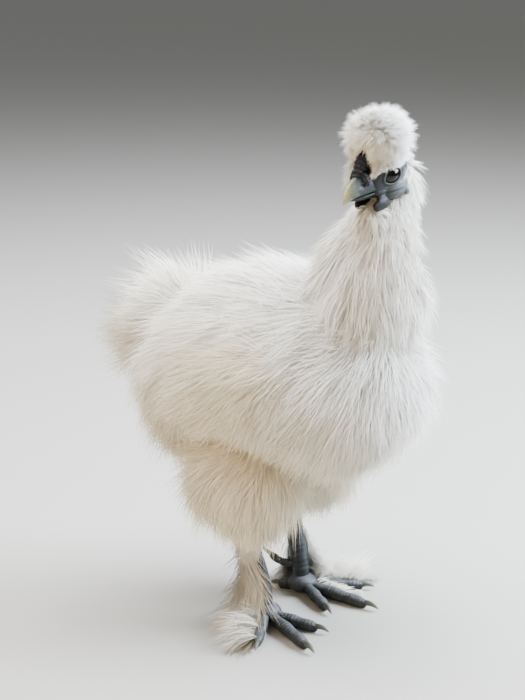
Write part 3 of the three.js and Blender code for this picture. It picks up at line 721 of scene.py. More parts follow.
# Eye: a wet cornea over a dark brown iris and a black pupil
wet_eye, tree, shader = new_finish("wet dark eye", Roughness=0.08, IOR=1.34)
ring = add(tree, "ShaderNodeAttribute", attribute_name="ring").outputs["Fac"]
stops = ((0, "#020202"), (0.4, "#030303"), (0.46, "#120b07"))
stops += ((0.66, "#0b0706"), (0.74, "#040405"), (1, "#08090a"))
iris = add(tree, "ShaderNodeValToRGB", {0: ring}, stops=stops).outputs[0]
tree.links.new(iris, shader.inputs["Base Color"])
print("eight finishes:", [m.name for m in (down, hide, mulberry, lobe, beak_horn, claw_horn, scale, wet_eye)])
skin.data.materials.append(hide)
face.data.materials.append(hide)
combine(skin, face, "UNION")
one_material(skin.data, hide)
skin.data.shade_smooth()
skin.name = skin.data.name = "skin"
print("the whole skin has", len(skin.data.polygons), "faces and", len(skin.data.materials), "material")

# %% [markdown]
# ## One tuft
# A silkie's feather is a root from which fine barbs spread. Here it is ten closed, three-sided
# spindles of six triangles, or three of them for a bristle. Each point keeps how far along the feather
# it is, how far it has strayed to the side and up, and its place round the barb. Those numbers are
# bent into a feather later, so a few tufts of different seeds are enough for a whole coat.

# %% A handful of barbs that share a root


def tuft_mesh(name, seed, fan, barbs):
    """Barbs as numbers on points: (along, stray, rise) in feather lengths, and (across, over, tone)."""
    draw = np.random.default_rng(seed)
    faces, strand, girth, patch = [], [], [], []
    corner = np.arange(3) * 2 * np.pi / 3
    for barb in range(barbs):
        spread = fan * (2 * (barb + 0.5 + 0.4 * draw.uniform(-1, 1)) / barbs - 1)
        reach = 1 - 0.2 * abs(spread / fan) ** 1.5 - 0.25 * draw.random()
        start = 0.12 * draw.random()
        swing = 0.1 * draw.uniform(-1, 1)
        rise = 0.13 * draw.uniform(-1, 1)
        turn = draw.uniform(0, 2 * np.pi)
        tone = draw.random()
        base = len(strand)
        for share, wide in ((0.0, 0.0), (0.48, 1.0), (1.0, 0.0)):
            far = start * (1 - share) + share * reach
            aside = spread * far * (1.2 - 0.4 * far) + swing * math.sin(3 * far)
            for k in corner if wide else corner[:1]:
                strand.append((far, aside, rise * far))
                girth.append((wide * math.cos(k + turn), 0.7 * wide * math.sin(k + turn), tone))
                patch.append(((barb + 0.2 + 0.2 * k) / barbs, far, 0))
        for k in range(3):
            here, after = base + 1 + k, base + 1 + (k + 1) % 3
            faces.append((base, after, here))
            faces.append((base + 4, here, after))
    mesh = bpy.data.meshes.new(name)
    mesh.from_pydata([(0, 0, 0)] * len(strand), [], faces)
    mesh.shade_smooth()
    keep(mesh, strand=strand, girth=girth, patch=patch)
    return mesh


def tuft_kinds(name, fan, barbs=10, count=5):
    """A collection of tufts that differ by their seeds."""
    kinds = bpy.data.collections.new(name)
    for k in range(count):
        kinds.objects.link(bpy.data.objects.new(f"{name} {k}", tuft_mesh(f"{name} {k}", 100 + k, fan, barbs)))
    return kinds


soft_tufts = tuft_kinds("soft tuft", fan=0.26)
close_tufts = tuft_kinds("close tuft", fan=0.17)
bristles = tuft_kinds("bristles", fan=0.7, barbs=3)

# %% [markdown]
# ## Growing the coat
# Particle hair would grow on its own, but it is lost on export, so a Geometry Nodes tree scatters
# tufts over a bed as real mesh. Every place on the bed says how the coat lies there, how long it is,
# how steeply it leaves the skin and how far it curls back, and each tuft carries its root's numbers.

# %% The tree that scatters and realizes the tufts


def coat_tree():
    """Tufts on random points of a bed, each with two random vectors of its own."""
    tree = bpy.data.node_groups.new("coat", "GeometryNodeTree")
    named = (
        ("Bed", "NodeSocketGeometry"),
        ("Tufts", "NodeSocketCollection"),
        ("Material", "NodeSocketMaterial"),
        ("Per square metre", "NodeSocketFloat"),
        ("Seed", "NodeSocketInt"),
    )
    for name, kind in named:
        tree.interface.new_socket(name, in_out="INPUT", socket_type=kind)
    tree.interface.new_socket("Coat", in_out="OUTPUT", socket_type="NodeSocketGeometry")
    given = add(tree, "NodeGroupInput").outputs
    thickness = add(tree, "GeometryNodeInputNamedAttribute", {"Name": "density"}, data_type="FLOAT")
    links = {0: given["Per square metre"], 1: thickness.outputs["Attribute"]}
    crowd = add(tree, "ShaderNodeMath", links, operation="MULTIPLY").outputs[0]
    links = {"Mesh": given["Bed"], "Density": crowd, "Seed": given["Seed"]}
    points = add(tree, "GeometryNodeDistributePointsOnFaces", links).outputs["Points"]
    values = {"root": add(tree, "GeometryNodeInputPosition").outputs[0]}
    for name, seed in (("luck", 5), ("chance", 6)):
        links = {0: (-1, -1, -1), 1: (1, 1, 1), 8: seed}
        values[name] = add(tree, "FunctionNodeRandomValue", links, data_type="FLOAT_VECTOR").outputs[0]
    spot = add(tree, "GeometryNodeInputNamedAttribute", {"Name": "OFBake"}, data_type="FLOAT_VECTOR")
    values["spot"] = spot.outputs["Attribute"]
    for name, value in values.items():
        links = {"Geometry": points, "Name": name, "Value": value}
        stored = add(tree, "GeometryNodeStoreNamedAttribute", links, data_type="FLOAT_VECTOR", domain="POINT")
        points = stored.outputs[0]
    links = {"Collection": given["Tufts"], "Separate Children": True, "Reset Children": True}
    kinds = add(tree, "GeometryNodeCollectionInfo", links).outputs[0]
    pick = add(tree, "FunctionNodeRandomValue", {4: 0, 5: 4, 8: 11}, data_type="INT").outputs[2]
    links = {"Points": points, "Instance": kinds, "Pick Instance": True, "Instance Index": pick}
    placed = add(tree, "GeometryNodeInstanceOnPoints", links).outputs[0]
    real = add(tree, "GeometryNodeRealizeInstances", {0: placed}).outputs[0]
    real = add(tree, "GeometryNodeSetMaterial", {"Geometry": real, "Material": given["Material"]}).outputs[0]
    add(tree, "NodeGroupOutput", {0: real})
    return tree


coat = coat_tree()
print("the coat's tree has", len(coat.nodes), "nodes")

# %% [markdown]
# ## Bending a tuft
# A feather leaves the skin at its lift and bends back over its length by its curl, and its barbs
# stray to both sides. The shading normals are blended with the body's outward direction, so that
# light rolls softly over a mass of barbs as it does over real down.

# %% From a tuft's numbers to its points
BAKE_PATCH = 0.003
FLOOR_GAP = 0.0006
LENGTH_MEAN, LENGTH_SPREAD = 0.92, 0.27
LIFT_SPREAD, FLUFFED_LIFT, FLUFFED_FROM = 0.12, 0.35, 0.75
STRAY = 0.24
# How much of a barb's shading normal is the barb's own, the feather's, the body's and straight up
OWN_SHARE, FEATHER_SHARE, BODY_SHARE, UP_SHARE = 0.28, 0.17, 0.55, 0.14


def bend_tufts(mesh, barb):
    """Moves every point of the realized tufts to its place on a bent feather."""
    names = ("root", "lie", "out", "soft", "strand", "girth", "luck", "chance", "patch", "spot")
    layers = mesh.attributes
    root, lie, out, soft, strand, girth, luck, chance, patch, spot = (read(layers[n].data) for n in names)
    length, lift, curl = (read(layers[n].data, "value", 1) for n in ("length", "lift", "curl"))
    out = unit(out)
    lie = unit(lie - np.sum(lie * out, axis=1, keepdims=True) * out)
    side = np.cross(out, lie)
    far, stray, rise = strand[:, :1], strand[:, 1:2], strand[:, 2:]
    length = length * (LENGTH_MEAN + LENGTH_SPREAD * luck[:, :1])
    fluffed = np.maximum(chance[:, :1] - FLUFFED_FROM, 0) / (1 - FLUFFED_FROM)
    lift = lift + LIFT_SPREAD * luck[:, 1:2] + FLUFFED_LIFT * fluffed
    heading = lift - 0.5 * curl * far
    steep = heading - 0.5 * curl * far
    over = out * np.cos(steep) - lie * np.sin(steep)
    aside = (stray + STRAY * luck[:, 2:] * far**2) * length + girth[:, :1] * barb / 2
    above = rise * length + girth[:, 1:2] * barb / 2
    reach = length * far
    where = root + lie * reach * np.cos(heading) + out * reach * np.sin(heading) + side * aside + over * above
    where[:, 2] = np.maximum(where[:, 2], FLOOR_GAP)
    mesh.vertices.foreach_set("co", where.ravel())
    round_barb = side * girth[:, :1] + over * girth[:, 1:2]
    own, up = OWN_SHARE * unit(round_barb), np.array([0, 0, UP_SHARE])
    normals = unit(own + FEATHER_SHARE * over + BODY_SHARE * unit(soft) + up)
    tone = 0.5 + 0.25 * (2 * girth[:, 2:] - 1) + 0.25 * chance[:, 1:2]
    corner_verts = np.empty(len(mesh.loops), np.int32)
    mesh.loops.foreach_get("vertex_index", corner_verts)
    bake = (spot[:, :2] + (patch[:, :2] - 0.5) * BAKE_PATCH)[corner_verts]
    for name in (*names, "length", "lift", "curl", "density", "id", "OFBake"):
        if name in layers:
            layers.remove(layers[name])
    keep(mesh, along=far.ravel(), tone=tone.ravel())
    mesh.uv_layers.new(name="OFBake").data.foreach_set("uv", bake.ravel())
    mesh.normals_split_custom_set_from_vertices(normals.tolist())


print("a tuft's patch on the unwrap is", BAKE_PATCH, "across")

# %% [markdown]
# ## Beds
# A bed is one loft of the body with the coat's numbers at every point of it, and an unwrap: its own
# share and angle laid out on one tile of an unwrap that all the beds share.

# %% A bed, and the coat that grows on it
PAIRED = ("wing", "thigh", "shank", "toe_3", "toe_4")
TILES = ["torso", "neck", "tail", "crest", "skull"]
TILES += [f"{part}_{side}" for part in PAIRED for side in FEET] + ["throat"]
TILES_ACROSS, TILE_EDGE, TILE_WIDE, TILE_TALL = 4, 0.04, 0.9, 0.92
EGG_MIDDLE, EGG_HALF = (0, 0, 150), (70, 110, 85)
# Widths of a barb in mm. Real ones are finer, so each stands for a few that cling together.
BODY_BARB, NECK_BARB, THROAT_BARB, SHORT_BARB = 0.38, 0.34, 0.32, 0.3
CREST_BARB, BROW_BARB, BRISTLE = 0.28, 0.26, 0.12


def mix(a, b, share):
    """From a to b by a share that is kept between 0 and 1."""
    return a + (b - a) * np.clip(share, 0, 1)


def wander(points, size, seed):
    """A slow random number, mostly from -1 to 1, that changes over about size mm."""
    draw = np.random.default_rng(seed)
    total = np.zeros(len(points))
    for _ in range(6):
        ahead = unit(draw.normal(size=3))
        total += np.sin(points @ ahead * 2 * np.pi / (size * draw.uniform(0.7, 1.6)) + draw.uniform(0, 6.3))
    return total / 2.4


class Bed:
    """A loft's surface, with arrays over its points that say how the coat grows."""

    def __init__(self, name, loft, inset, place):
        self.name, self.place = name, place
        points, t, angle = loft.grid(inset)
        middle = points.mean(axis=1, keepdims=True)
        around = np.roll(points, -1, axis=1) - np.roll(points, 1, axis=1)
        alongside = np.gradient(points, axis=0)
        out = unit(np.cross(alongside, around))
        out *= np.sign(np.sum(out * (points - middle), axis=-1, keepdims=True))
        tips = unit(np.stack([points[0, 0] - points[1].mean(0), points[-1, 0] - points[-2].mean(0)]))
        self.mesh = grid_mesh(name, points, place)
        self.p = np.vstack([points[1:-1].reshape(-1, 3), points[0].mean(0), points[-1].mean(0)])
        self.out = np.vstack([out[1:-1].reshape(-1, 3), tips])
        shape = points.shape[:2]
        self.t = np.append(np.broadcast_to(t[:, None], shape)[1:-1].ravel(), [0, 1])
        self.angle = np.append(np.broadcast_to(angle[None, :], shape)[1:-1].ravel(), [0, 0])
        self.forward, self.right, self.up = -self.p[:, 1], -self.p[:, 0], self.p[:, 2]
        self.unwrap()

    def unwrap(self):
        """Share and angle, laid out on this bed's tile."""
        tile = TILES.index(self.name)
        loops = np.array([loop.vertex_index for loop in self.mesh.loops])
        faces = np.repeat(np.arange(len(self.mesh.polygons)), [p.loop_total for p in self.mesh.polygons])
        turn = self.angle[loops] / (2 * np.pi)
        low = np.full(len(self.mesh.polygons), 9.0)
        high = np.zeros(len(self.mesh.polygons))
        np.minimum.at(low, faces, turn)
        np.maximum.at(high, faces, turn)
        wraps = (high - low > 0.5)[faces]
        turn = np.where(wraps & (turn < 0.5), turn + 1, turn)
        u = (tile % TILES_ACROSS + TILE_EDGE + TILE_WIDE * turn) / TILES_ACROSS
        v = (tile // TILES_ACROSS + TILE_EDGE + TILE_TALL * self.t[loops]) / TILES_ACROSS
        layer = self.mesh.attributes.new("OFBake", "FLOAT2", "CORNER")
        layer.data.foreach_set("vector", np.stack([u, v], 1).ravel())

    def says(self, lie, length, lift, curl, warm=0.0, egg=0.0, ruffle=0.22):
        """Writes the coat's numbers on the bed: directions in its own frame, mm, and degrees.

        egg is how far the light falls as on one egg-shaped body, so that no seam shows between beds.
        """
        turn = np.array(self.place.to_3x3().normalized())
        scale = self.place.to_scale()[0]
        away = unit(self.out)
        whole_body = unit((self.p - np.array(EGG_MIDDLE)) / np.square(EGG_HALF))
        egg = np.broadcast_to(egg, len(self.p))[:, None]
        soft = unit(away * (1 - egg) + whole_body * egg)
        flow = unit(np.broadcast_to(lie, away.shape))
        flow = unit(flow - np.sum(flow * away, axis=1, keepdims=True) * away)
        sway = ruffle * (wander(self.p, 46, 3) + 0.6 * wander(self.p, 17, 4))
        flow = unit(flow + np.cross(away, flow) * sway[:, None])
        keep(self.mesh, lie=flow @ turn.T, out=away @ turn.T, soft=soft @ turn.T)
        varied = np.asarray(length) * scale * (1 + 0.07 * wander(self.p, 30, 5))
        steep = np.radians(lift) + 0.07 * wander(self.p, 24, 6)
        keep(self.mesh, length=varied, lift=steep, curl=np.radians(curl), warm=warm)


coat_pieces = []


def grow(name, bed, mask, per_cm2, barb=BODY_BARB, tufts=soft_tufts):
    """One piece of the coat: tufts only where, and as thick as, the mask says."""
    keep(bed.mesh, density=mask)
    made = as_object(bed.mesh.copy())
    made.name = name
    modifier = made.modifiers.new("coat", "NODES")
    modifier.node_group = coat
    sockets = {s.name: s.identifier for s in coat.interface.items_tree if s.in_out == "INPUT"}
    modifier[sockets["Tufts"]] = tufts
    modifier[sockets["Material"]] = down
    modifier[sockets["Per square metre"]] = per_cm2 * 1e4
    modifier[sockets["Seed"]] = len(coat_pieces) + 1
    finished(made)
    made.data.name = name
    bend_tufts(made.data, barb * MM)
    one_material(made.data, down)
    coat_pieces.append(made)
    print(name, len(made.data.polygons), "triangles")


bed = {name: Bed(name, *parts) for name, parts in beds.items()}
print(len(bed), "beds")

# %% [markdown]
# ## How the coat lies
# On the back the down lies towards the tail, on the flanks back and down, and on the breast straight
# down. It stands highest over the middle of the back, dips in front of the tail, and lies close where
# the flank hangs over the thigh. It is thinner on the side that the camera doesn't see.

# %% The body's coat
BREAST_FROM, BACK_SPLIT, TAIL_SPLIT = 34, -24, 172
HUMP_AT, DIP_AT = 8, -62
b = bed["torso"]
facing = np.maximum(0, -b.out[:, 1])
under = np.maximum(0, -b.out[:, 2])
over_back = np.maximum(0, b.out[:, 2])
to_side = np.abs(b.out[:, 0])
rear = np.clip((-b.forward - 10) / 60, 0, 1)
low_side = np.clip((138 - b.up) / 40, 0, 1) * np.clip(2.5 * to_side, 0, 1) * (b.forward < 45)
over_thigh = np.clip((172 - b.up) / 40, 0, 1) * np.clip(1.6 - np.abs(b.forward - 2) / 40, 0, 1) * to_side
low_side = np.maximum(low_side, over_thigh)
hump = over_back * np.clip(1 - np.abs(b.forward - HUMP_AT) / 50, 0, 1)
crop = facing * np.clip((135 - b.up) / 40, 0, 1)
dip = over_back * np.clip(1 - np.abs(b.forward - DIP_AT) / 28, 0, 1)
fall = -0.3 - 0.55 * to_side - 1.4 * facing - 0.4 * under - 1.3 * low_side
b.says(
    lie=np.stack([0 * facing, 1 + 0 * facing, fall], 1),
    length=mix(40, 45, rear) + 5 * hump - 6 * dip - 5 * facing + 9 * crop - 15 * low_side,
    lift=mix(22, 23, rear) + 7 * hump - 13 * dip + 6 * crop - 17 * low_side,
    curl=28 + 14 * over_back + 8 * facing,
    # warm here is a cream tint of 0.6, made whiter on the lit back and breast and creamier and darker low on
    # the body, as painted light and shade
    warm=0.6 - 0.55 * facing - 0.4 * over_back + 0.35 * np.clip((165 - b.up) / 60, 0, 1),
    egg=0.65,
)
under_tail = (b.forward < -84) & (b.up > 146) & (b.up < 184)
under_neck = np.clip((b.up - 186) / 36, 0, 1) * (b.forward > 40)
shows = np.where(under_tail, 0.0, 1.0 - under_neck)
front = b.forward > BREAST_FROM
back = ~front & (b.out[:, 2] > 0.5)
belly = ~front & (b.out[:, 2] < -0.55)
flank = ~front & ~back & ~belly
for name, mask, density in (
    ("down_breast_right", front & (b.right > 0), 25),
    ("down_breast_left", front & (b.right <= 0), 18),
    ("down_back_front", back & (b.forward > BACK_SPLIT), 22),
    ("down_back_rear", back & (b.forward <= BACK_SPLIT), 22),
    ("down_belly", belly, 6),
    ("down_flank_right", flank & (b.right > 0), 26),
    ("down_flank_left", flank & (b.right <= 0), 17),
):
    grow(name, b, mask * shows, density)

# %% [markdown]
# ## Neck, wings, thighs and tail
# The neck's down hangs like a cape and widens over the shoulders. A silkie's wing has no stiff
# feathers, so it is covered in the same down as the flank, hanging back and down. The tail is a short
# brush that fans from the rump.

# %% The coat of the neck and throat
b = bed["neck"]
low = np.clip((0.75 - b.t) / 0.5, 0, 1)
nape_side = np.clip(1.4 * b.out[:, 0], 0, 1)
b.says(
    lie=way(-0.15, 0, -1),
    length=mix(12, 37, low) + 8 * nape_side * (1 - low),
    lift=mix(22, 19, low) + 10 * nape_side * (1 - low),
    curl=mix(26, 22, low),
    warm=0.1 + 0.25 * low,
    egg=0.75 * np.clip((0.55 - b.t) / 0.3, 0, 1),
)
shows = np.clip((b.t - 0.05) / 0.5, 0, 1)
grow("down_neck_right", b, (b.right > 0) * shows, 36, barb=NECK_BARB, tufts=close_tufts)
grow("down_neck_left", b, (b.right <= 0) * shows, 32, barb=NECK_BARB, tufts=close_tufts)
b = bed["throat"]
b.says(lie=way(0, -0.1, -1), length=mix(24, 9, b.t), lift=mix(16, 14, b.t), curl=18, warm=0.3)
grow("down_throat", b, np.clip((b.t - 0.25) / 0.25, 0, 1), 38, barb=THROAT_BARB, tufts=close_tufts)

# %% The coat of the tail, wings and thighs
b = bed["tail"]
b.says(
    lie=np.stack([0 * b.t, 1 + 0 * b.t, -0.25 * b.out[:, 2] - 0.2], 1),
    length=mix(34, 56, b.t),
    lift=mix(16, 3, 1.5 * b.out[:, 2]),
    curl=np.where(b.out[:, 2] > 0, 40, 26),
    warm=0.45,
    ruffle=0.35,
)
shows = np.clip((b.t - 0.06) / 0.2, 0, 1)
grow("down_tail_upper", b, (b.up > TAIL_SPLIT) * shows, 40)
grow("down_tail_lower", b, (b.up <= TAIL_SPLIT) * shows, 36)
for (label, side), thigh_density in zip(SIDES.items(), (23, 17)):
    b = bed[f"wing_{label}"]
    outward = b.out[:, 0] * -side
    b.says(lie=way(-1, 0.1 * side, -0.75), length=mix(34, 44, b.t), lift=24, curl=30, warm=0.7, egg=0.65)
    grow(f"down_wing_{label}", b, (outward >= 0.3) & (b.t >= 0.12), 27)
    b = bed[f"thigh_{label}"]
    b.says(
        lie=way(-0.35, 0, -1),
        length=mix(36, 20, (b.t - 0.45) / 0.4),
        lift=mix(15, 20, b.t / 0.5),
        curl=mix(20, 26, b.t / 0.5),
        # warm of 0.8 makes the thigh creamier and darker, partly a cream tint and partly painted shade under
        # the body
        warm=0.8,
        egg=mix(0.65, 0.3, b.t),
    )
    grow(f"down_thigh_{label}", b, b.t >= 0.03, thigh_density)

# %% [markdown]
# ## Crest, brow and nape
# The crest is a dense globe of down: it stands at the crown, lies down over the brow, and leaves the
# comb free. Behind the bare face the down is short, and it runs down the back of the head into the
# neck. Bristles of two or three millimetres grow on the cheeks.

# %% The coat of the head
b = bed["crest"]
upright = np.clip((b.up - 15) / 12, 0, 1)
away = np.stack([b.p[:, 0], b.p[:, 1] - 9, b.p[:, 2] - 52], 1)
above_comb = np.clip(1 - np.abs(b.right) / 9, 0, 1) * (b.forward > 6) * np.clip((24 - b.up) / 6, 0, 1)
b.says(
    lie=away,
    length=mix(13.5, 12, upright) - 3 * above_comb,
    lift=mix(44, 80, upright) + 18 * above_comb,
    curl=mix(44, 30, upright) - 20 * above_comb,
    warm=0.35 * (b.out[:, 1] < -0.2) * (b.up < 26),
    ruffle=0.2,
)
over_comb = (np.abs(b.right) < 5) & (b.forward > 13) & (b.up < 24)
shows = (b.up >= 9) & ~over_comb
grow("down_crest", b, shows, 120, barb=CREST_BARB)

b = bed["skull"]
far_side = np.clip(b.right / 3, 0, 1)
brow_line = mix(7.4, 5.2, (b.forward - 9) / 9) - 6 * far_side * (b.forward > 12)
brow = (b.up > brow_line) & (b.forward > -9) & ~((np.abs(b.right) < 5.5) & (b.forward > 8))
ahead = np.where(b.forward > 8, 1.2, -1.0)
b.says(
    lie=np.stack([b.p[:, 0] * 0.05, -ahead, -0.35 * far_side], 1),
    length=6 + np.clip(b.up - 8, 0, 6) * 0.7 + 5 * far_side * (b.forward > 10),
    lift=46,
    curl=34,
    warm=0.35 * (b.forward > 8),
    ruffle=0.2,
)
grow("down_brow", b, brow, 170, barb=BROW_BARB, tufts=close_tufts)
behind = mix(-9, -15, (b.up + 4) / 8)
b.says(lie=way(-0.8, 0, -0.8), length=12, lift=40, curl=34, ruffle=0.15)
grow("down_nape", b, (b.forward < behind) & (b.up > -16), 140, barb=SHORT_BARB, tufts=close_tufts)
bristly = near((b.forward, b.up), (-5, -5), (8, 8)) * (np.abs(b.right) > 5) * ~brow * (b.forward > -12)
bristly = bristly * (from_eye(b.forward, b.right, b.up) > 1.7)
b.says(lie=way(-1, 0, -0.35), length=3, lift=26, curl=10, ruffle=0.5)
grow("bristles_cheek", b, bristly, 110, barb=BRISTLE, tufts=bristles)

# %% [markdown]
# ## Eyes, comb, beak, wattles and lobes
# Each of these is its own piece, because each is its own stuff: a wet ball, horn, or thick warty
# skin. The eye fills the cut in the lids from behind. The comb is a cushion of small bulbs run
# together, and the beak is a loft with a hooked tip over a shorter lower half.

# %% Eyes
hard_pieces = []


def stands_for(piece, finish, slot, *nodes):
    """Gives a piece its finish, and notes its slot and the solids whose place it takes."""
    piece.data.materials.append(finish)
    hard_pieces.append((piece, slot, nodes))


for label, side in SIDES.items():
    middle = (EYE_MIDDLE, side * EYE_DEPTH, EYE_UP)
    eye = as_object(ball(f"eyeball_{label}", middle, [EYE_RADIUS] * 3, 64, 48))
    forward, right, up = on_points(eye.data)
    gaze = math.radians(EYE_GAZE)
    depth = (np.abs(right) - EYE_DEPTH) * math.cos(gaze) + (forward - EYE_MIDDLE) * math.sin(gaze)
    ahead = (forward - EYE_MIDDLE) * math.cos(gaze) - (np.abs(right) - EYE_DEPTH) * math.sin(gaze)
    ring = np.hypot(ahead, up - EYE_UP) / EYE_RADIUS
    pushed(eye.data, np.where(ring < 0.42, 0.25 * (1 - (ring / 0.42) ** 2), 0) * (depth > 0))
    keep(eye.data, ring=np.where(depth > 0, ring * 1.35, 1))
    stands_for(eye, wet_eye, "eye", f"eye_{label}")
print("eye opening, mm:", [round(2 * half * HEAD_SCALE, 1) for half in (EYE_HALF_LONG, EYE_HALF_TALL)])

# %% Comb
comb_cushion = Loft(
    spine=[way(26, 0, 1), way(23.6, 0, 8), way(19, 0, 14.5), way(13.5, 0, 19.5)],
    sizes=[(2.8, 2.8, 3.6), (3.9, 2.8, 4.5), (3.9, 2.8, 4.5), (2.6, 2.6, 3.2)],
    up=way(1, 0, 0),
    sides=24,
)
draw = np.random.default_rng(9)
bulbs = [grid_mesh("cushion", comb_cushion.grid(-0.6)[0], head_to_world)]
surface = comb_cushion.grid(-0.75)[0]
for ring in range(3, 22, 2):
    for k in range(0, 24, 3):
        turn = (k + (ring // 2 % 2) * 1.5) % 24
        place = surface[ring, int(turn)] + draw.normal(0, 0.25, 3)
        size = 1.15 + 0.4 * draw.random()
        bulbs.append(ball("bulb", (-place[1], -place[0], place[2]), [size] * 3, 10, 7))
for side in SIDES.values():
    bulbs.append(ball("lower lobe", (22, side * 3.4, 3), (3.6, 2.8, 4.6)))
    for k in range(12):
        turn = k * 2.4
        spread = 3.2 * math.sqrt((k + 0.5) / 12)
        out = 6 - 0.16 * spread**2
        place = (22.3 + spread * math.cos(turn), side * out, 2.6 + 1.25 * spread * math.sin(turn))
        bulbs.append(ball("bulb", place, [1 + 0.4 * draw.random()] * 3, 10, 7))
comb = melted(joined("mulberry_comb", bulbs), COMB_VOXEL * MM, rounds=3)
stands_for(comb, mulberry, "comb", "comb")
print("the comb has", len(bulbs) - 1, "bulbs and", len(comb.data.polygons), "faces")

# %% Beak
BEAK_REACH = 40.4
upper = Loft(
    spine=[way(7, 0, -4), way(16, 0, -4), way(25, 0, -3.9), way(33.5, 0, -4.3), way(BEAK_REACH, 0, -7.2)],
    sizes=[(7.6, 11.6, 1.8), (7.4, 11.8, 1.8), (5.9, 10.4, 1.7), (4.0, 7.2, 1.6), (1.3, 2.0, 0.8)],
    blunt=3,
    rings=56,
    sides=44,
)
beak = as_object(grid_mesh("beak_horn_upper", upper.grid()[0], head_to_world))
forward, right, up = on_points(beak.data)
out_to_side = np.abs(right)
nostril = near((forward, out_to_side, up), (26.5, 5.2, 0.8), (1.9, 3, 0.7))
cutting_edge = near((forward, up), (26, -4.2), (12, 0.5)) * (out_to_side > 2)
pushed(beak.data, 0.35 * cutting_edge - 1.2 * nostril + 0.3 * near((forward, up), (25.5, 2.6), (3, 1)))
ridge = np.clip(1 - out_to_side / 2.2, 0, 1) * (up > -4)
# tip is lowered in the nostril's hollow, which paints it darker, as shade
tip = np.clip((forward - 17) / 26, 0, 1) + 0.25 * ridge * (forward > 27) - 0.7 * nostril
keep(beak.data, tip=np.clip(tip, 0, 1))
stands_for(beak, beak_horn, "horn", "beak_upper")
lower = Loft(
    spine=[way(7, 0, -6.8), way(16, 0, -6.8), way(25, 0, -6.6), way(34.5, 0, -6.4)],
    sizes=[(6.6, 1.4, 3.6), (6.1, 1.4, 3.4), (4.5, 1.4, 2.8), (1.8, 1, 1.4)],
    blunt=3,
    rings=40,
    sides=32,
)
jaw = as_object(grid_mesh("beak_horn_lower", lower.grid()[0], head_to_world))
forward = on_points(jaw.data)[0]
keep(jaw.data, tip=np.clip((forward - 19) / 30, 0, 1))
stands_for(jaw, beak_horn, "horn", "beak_lower")
print("the beak reaches", round(BEAK_REACH * HEAD_SCALE, 1), "mm in front of the head's middle")

# %% Wattles and ear lobes
for label, side in SIDES.items():
    parts = [
        ball("wattle", (11.8, side * 7.4, -14.2), (7.2, 2.4, 4.2)),
        ball("wattle", (15.2, side * 7, -14.9), (5.4, 2.2, 3.5)),
        ball("wattle root", (10.5, side * 6.4, -10.8), (5.2, 2, 2.8)),
    ]
    wattle = melted(joined(f"wattle_skin_{label}", parts), WATTLE_VOXEL * MM, rounds=5)
    stands_for(wattle, mulberry, "comb", f"wattle_{label}")
    parts = [
        ball("lobe", (-8.2, side * 11.4, -12), (2.2, 1.6, 2.3)),
        ball("lobe", (-8.6, side * 11, -13.4), (1.7, 1.4, 1.8)),
    ]
    ear_lobe = melted(joined(f"ear_lobe_{label}", parts), WATTLE_VOXEL * MM, rounds=4)
    stands_for(ear_lobe, lobe, "lobe", f"earlobe_{label}")
print(len(hard_pieces), "pieces of the head")

# %% [markdown]
# ## Feet
# A silkie has five toes, one more than most hens, and its fifth stands up behind. Broad plates run
# down the front of the leg and along the top of each toe, and the soles bulge into pads. The plates
# are waves in the loft itself, a real plate's length apart.

# %% Scaled legs and toes
TOES = {
    1: {"angle": 196, "length": 17, "half": 3.4, "claw": 8},
    2: {"angle": -30, "length": 35.3, "half": 4, "claw": 9},
    3: {"angle": 2, "length": 47.9, "half": 4.3, "claw": 10},
    4: {"angle": 40, "length": 38.8, "half": 3.9, "claw": 8.5},
    5: {"angle": 206, "length": 20, "half": 3.2, "claw": 9},
}
TOE_UP = 4.2
LEG_PLATE, TOE_PLATE = 3.2, 2.3
FLOOR_SKIM = 0.05


def toe_line(foot, index):
    """The middle line of a toe, from its root to the claw."""
    toe = TOES[index]
    outward = math.radians(toe["angle"] + foot["turn"])
    line = [(3, 19), (9, 18.5), (16, 20.5), (22, 25)]
    if index != 5:
        root, base = (2, 6.5) if index == 1 else (4, 6)
        reaches = [root + (toe["length"] - root) * share for share in (0, 0.38, 0.7, 1)]
        line = list(zip(reaches, (base, TOE_UP + 0.9, TOE_UP + 0.2, TOE_UP - 0.6)))
    ahead, out = math.cos(outward), math.sin(outward)
    return [
        way(foot["forward"] + reach * ahead, foot["side"] * (FOOT_SPREAD + reach * out), up)
        for reach, up in line
    ]


def toe_loft(foot, index):
    """A toe with its knuckles."""
    half = TOES[index]["half"]
    sizes = []
    for share in (1, 0.78, 0.9, 0.72, 0.82, 0.62):
        drop = half * share if index == 5 else max(half * share, TOE_UP + 0.4)
        sizes.append((half * share, half * share * 0.85, drop))
    return Loft(toe_line(foot, index), sizes, blunt=4, rings=84, sides=24)


def plated(loft, plate, deep, front):
    """A loft's points with raised plates on one face, and how near each point is to a joint."""
    points, t, angle = loft.grid()
    middle = points.mean(axis=1, keepdims=True)
    steps = np.linalg.norm(np.diff(middle[:, 0], axis=0), axis=1)
    walked = np.append(0, np.cumsum(steps))
    joint = np.abs(2 * (walked / plate % 1) - 1) ** 5
    face = np.clip(1.6 * front(angle) + 0.1, 0, 1)
    lift = deep * (1 - joint)[:, None] * face[None, :]
    raised = points + unit(points - middle) * lift[..., None]
    raised[..., 2] = np.maximum(raised[..., 2], FLOOR_SKIM)
    whole = joint[:, None] * face[None, :]
    return raised, np.append(whole[1:-1].ravel(), [0, 0])


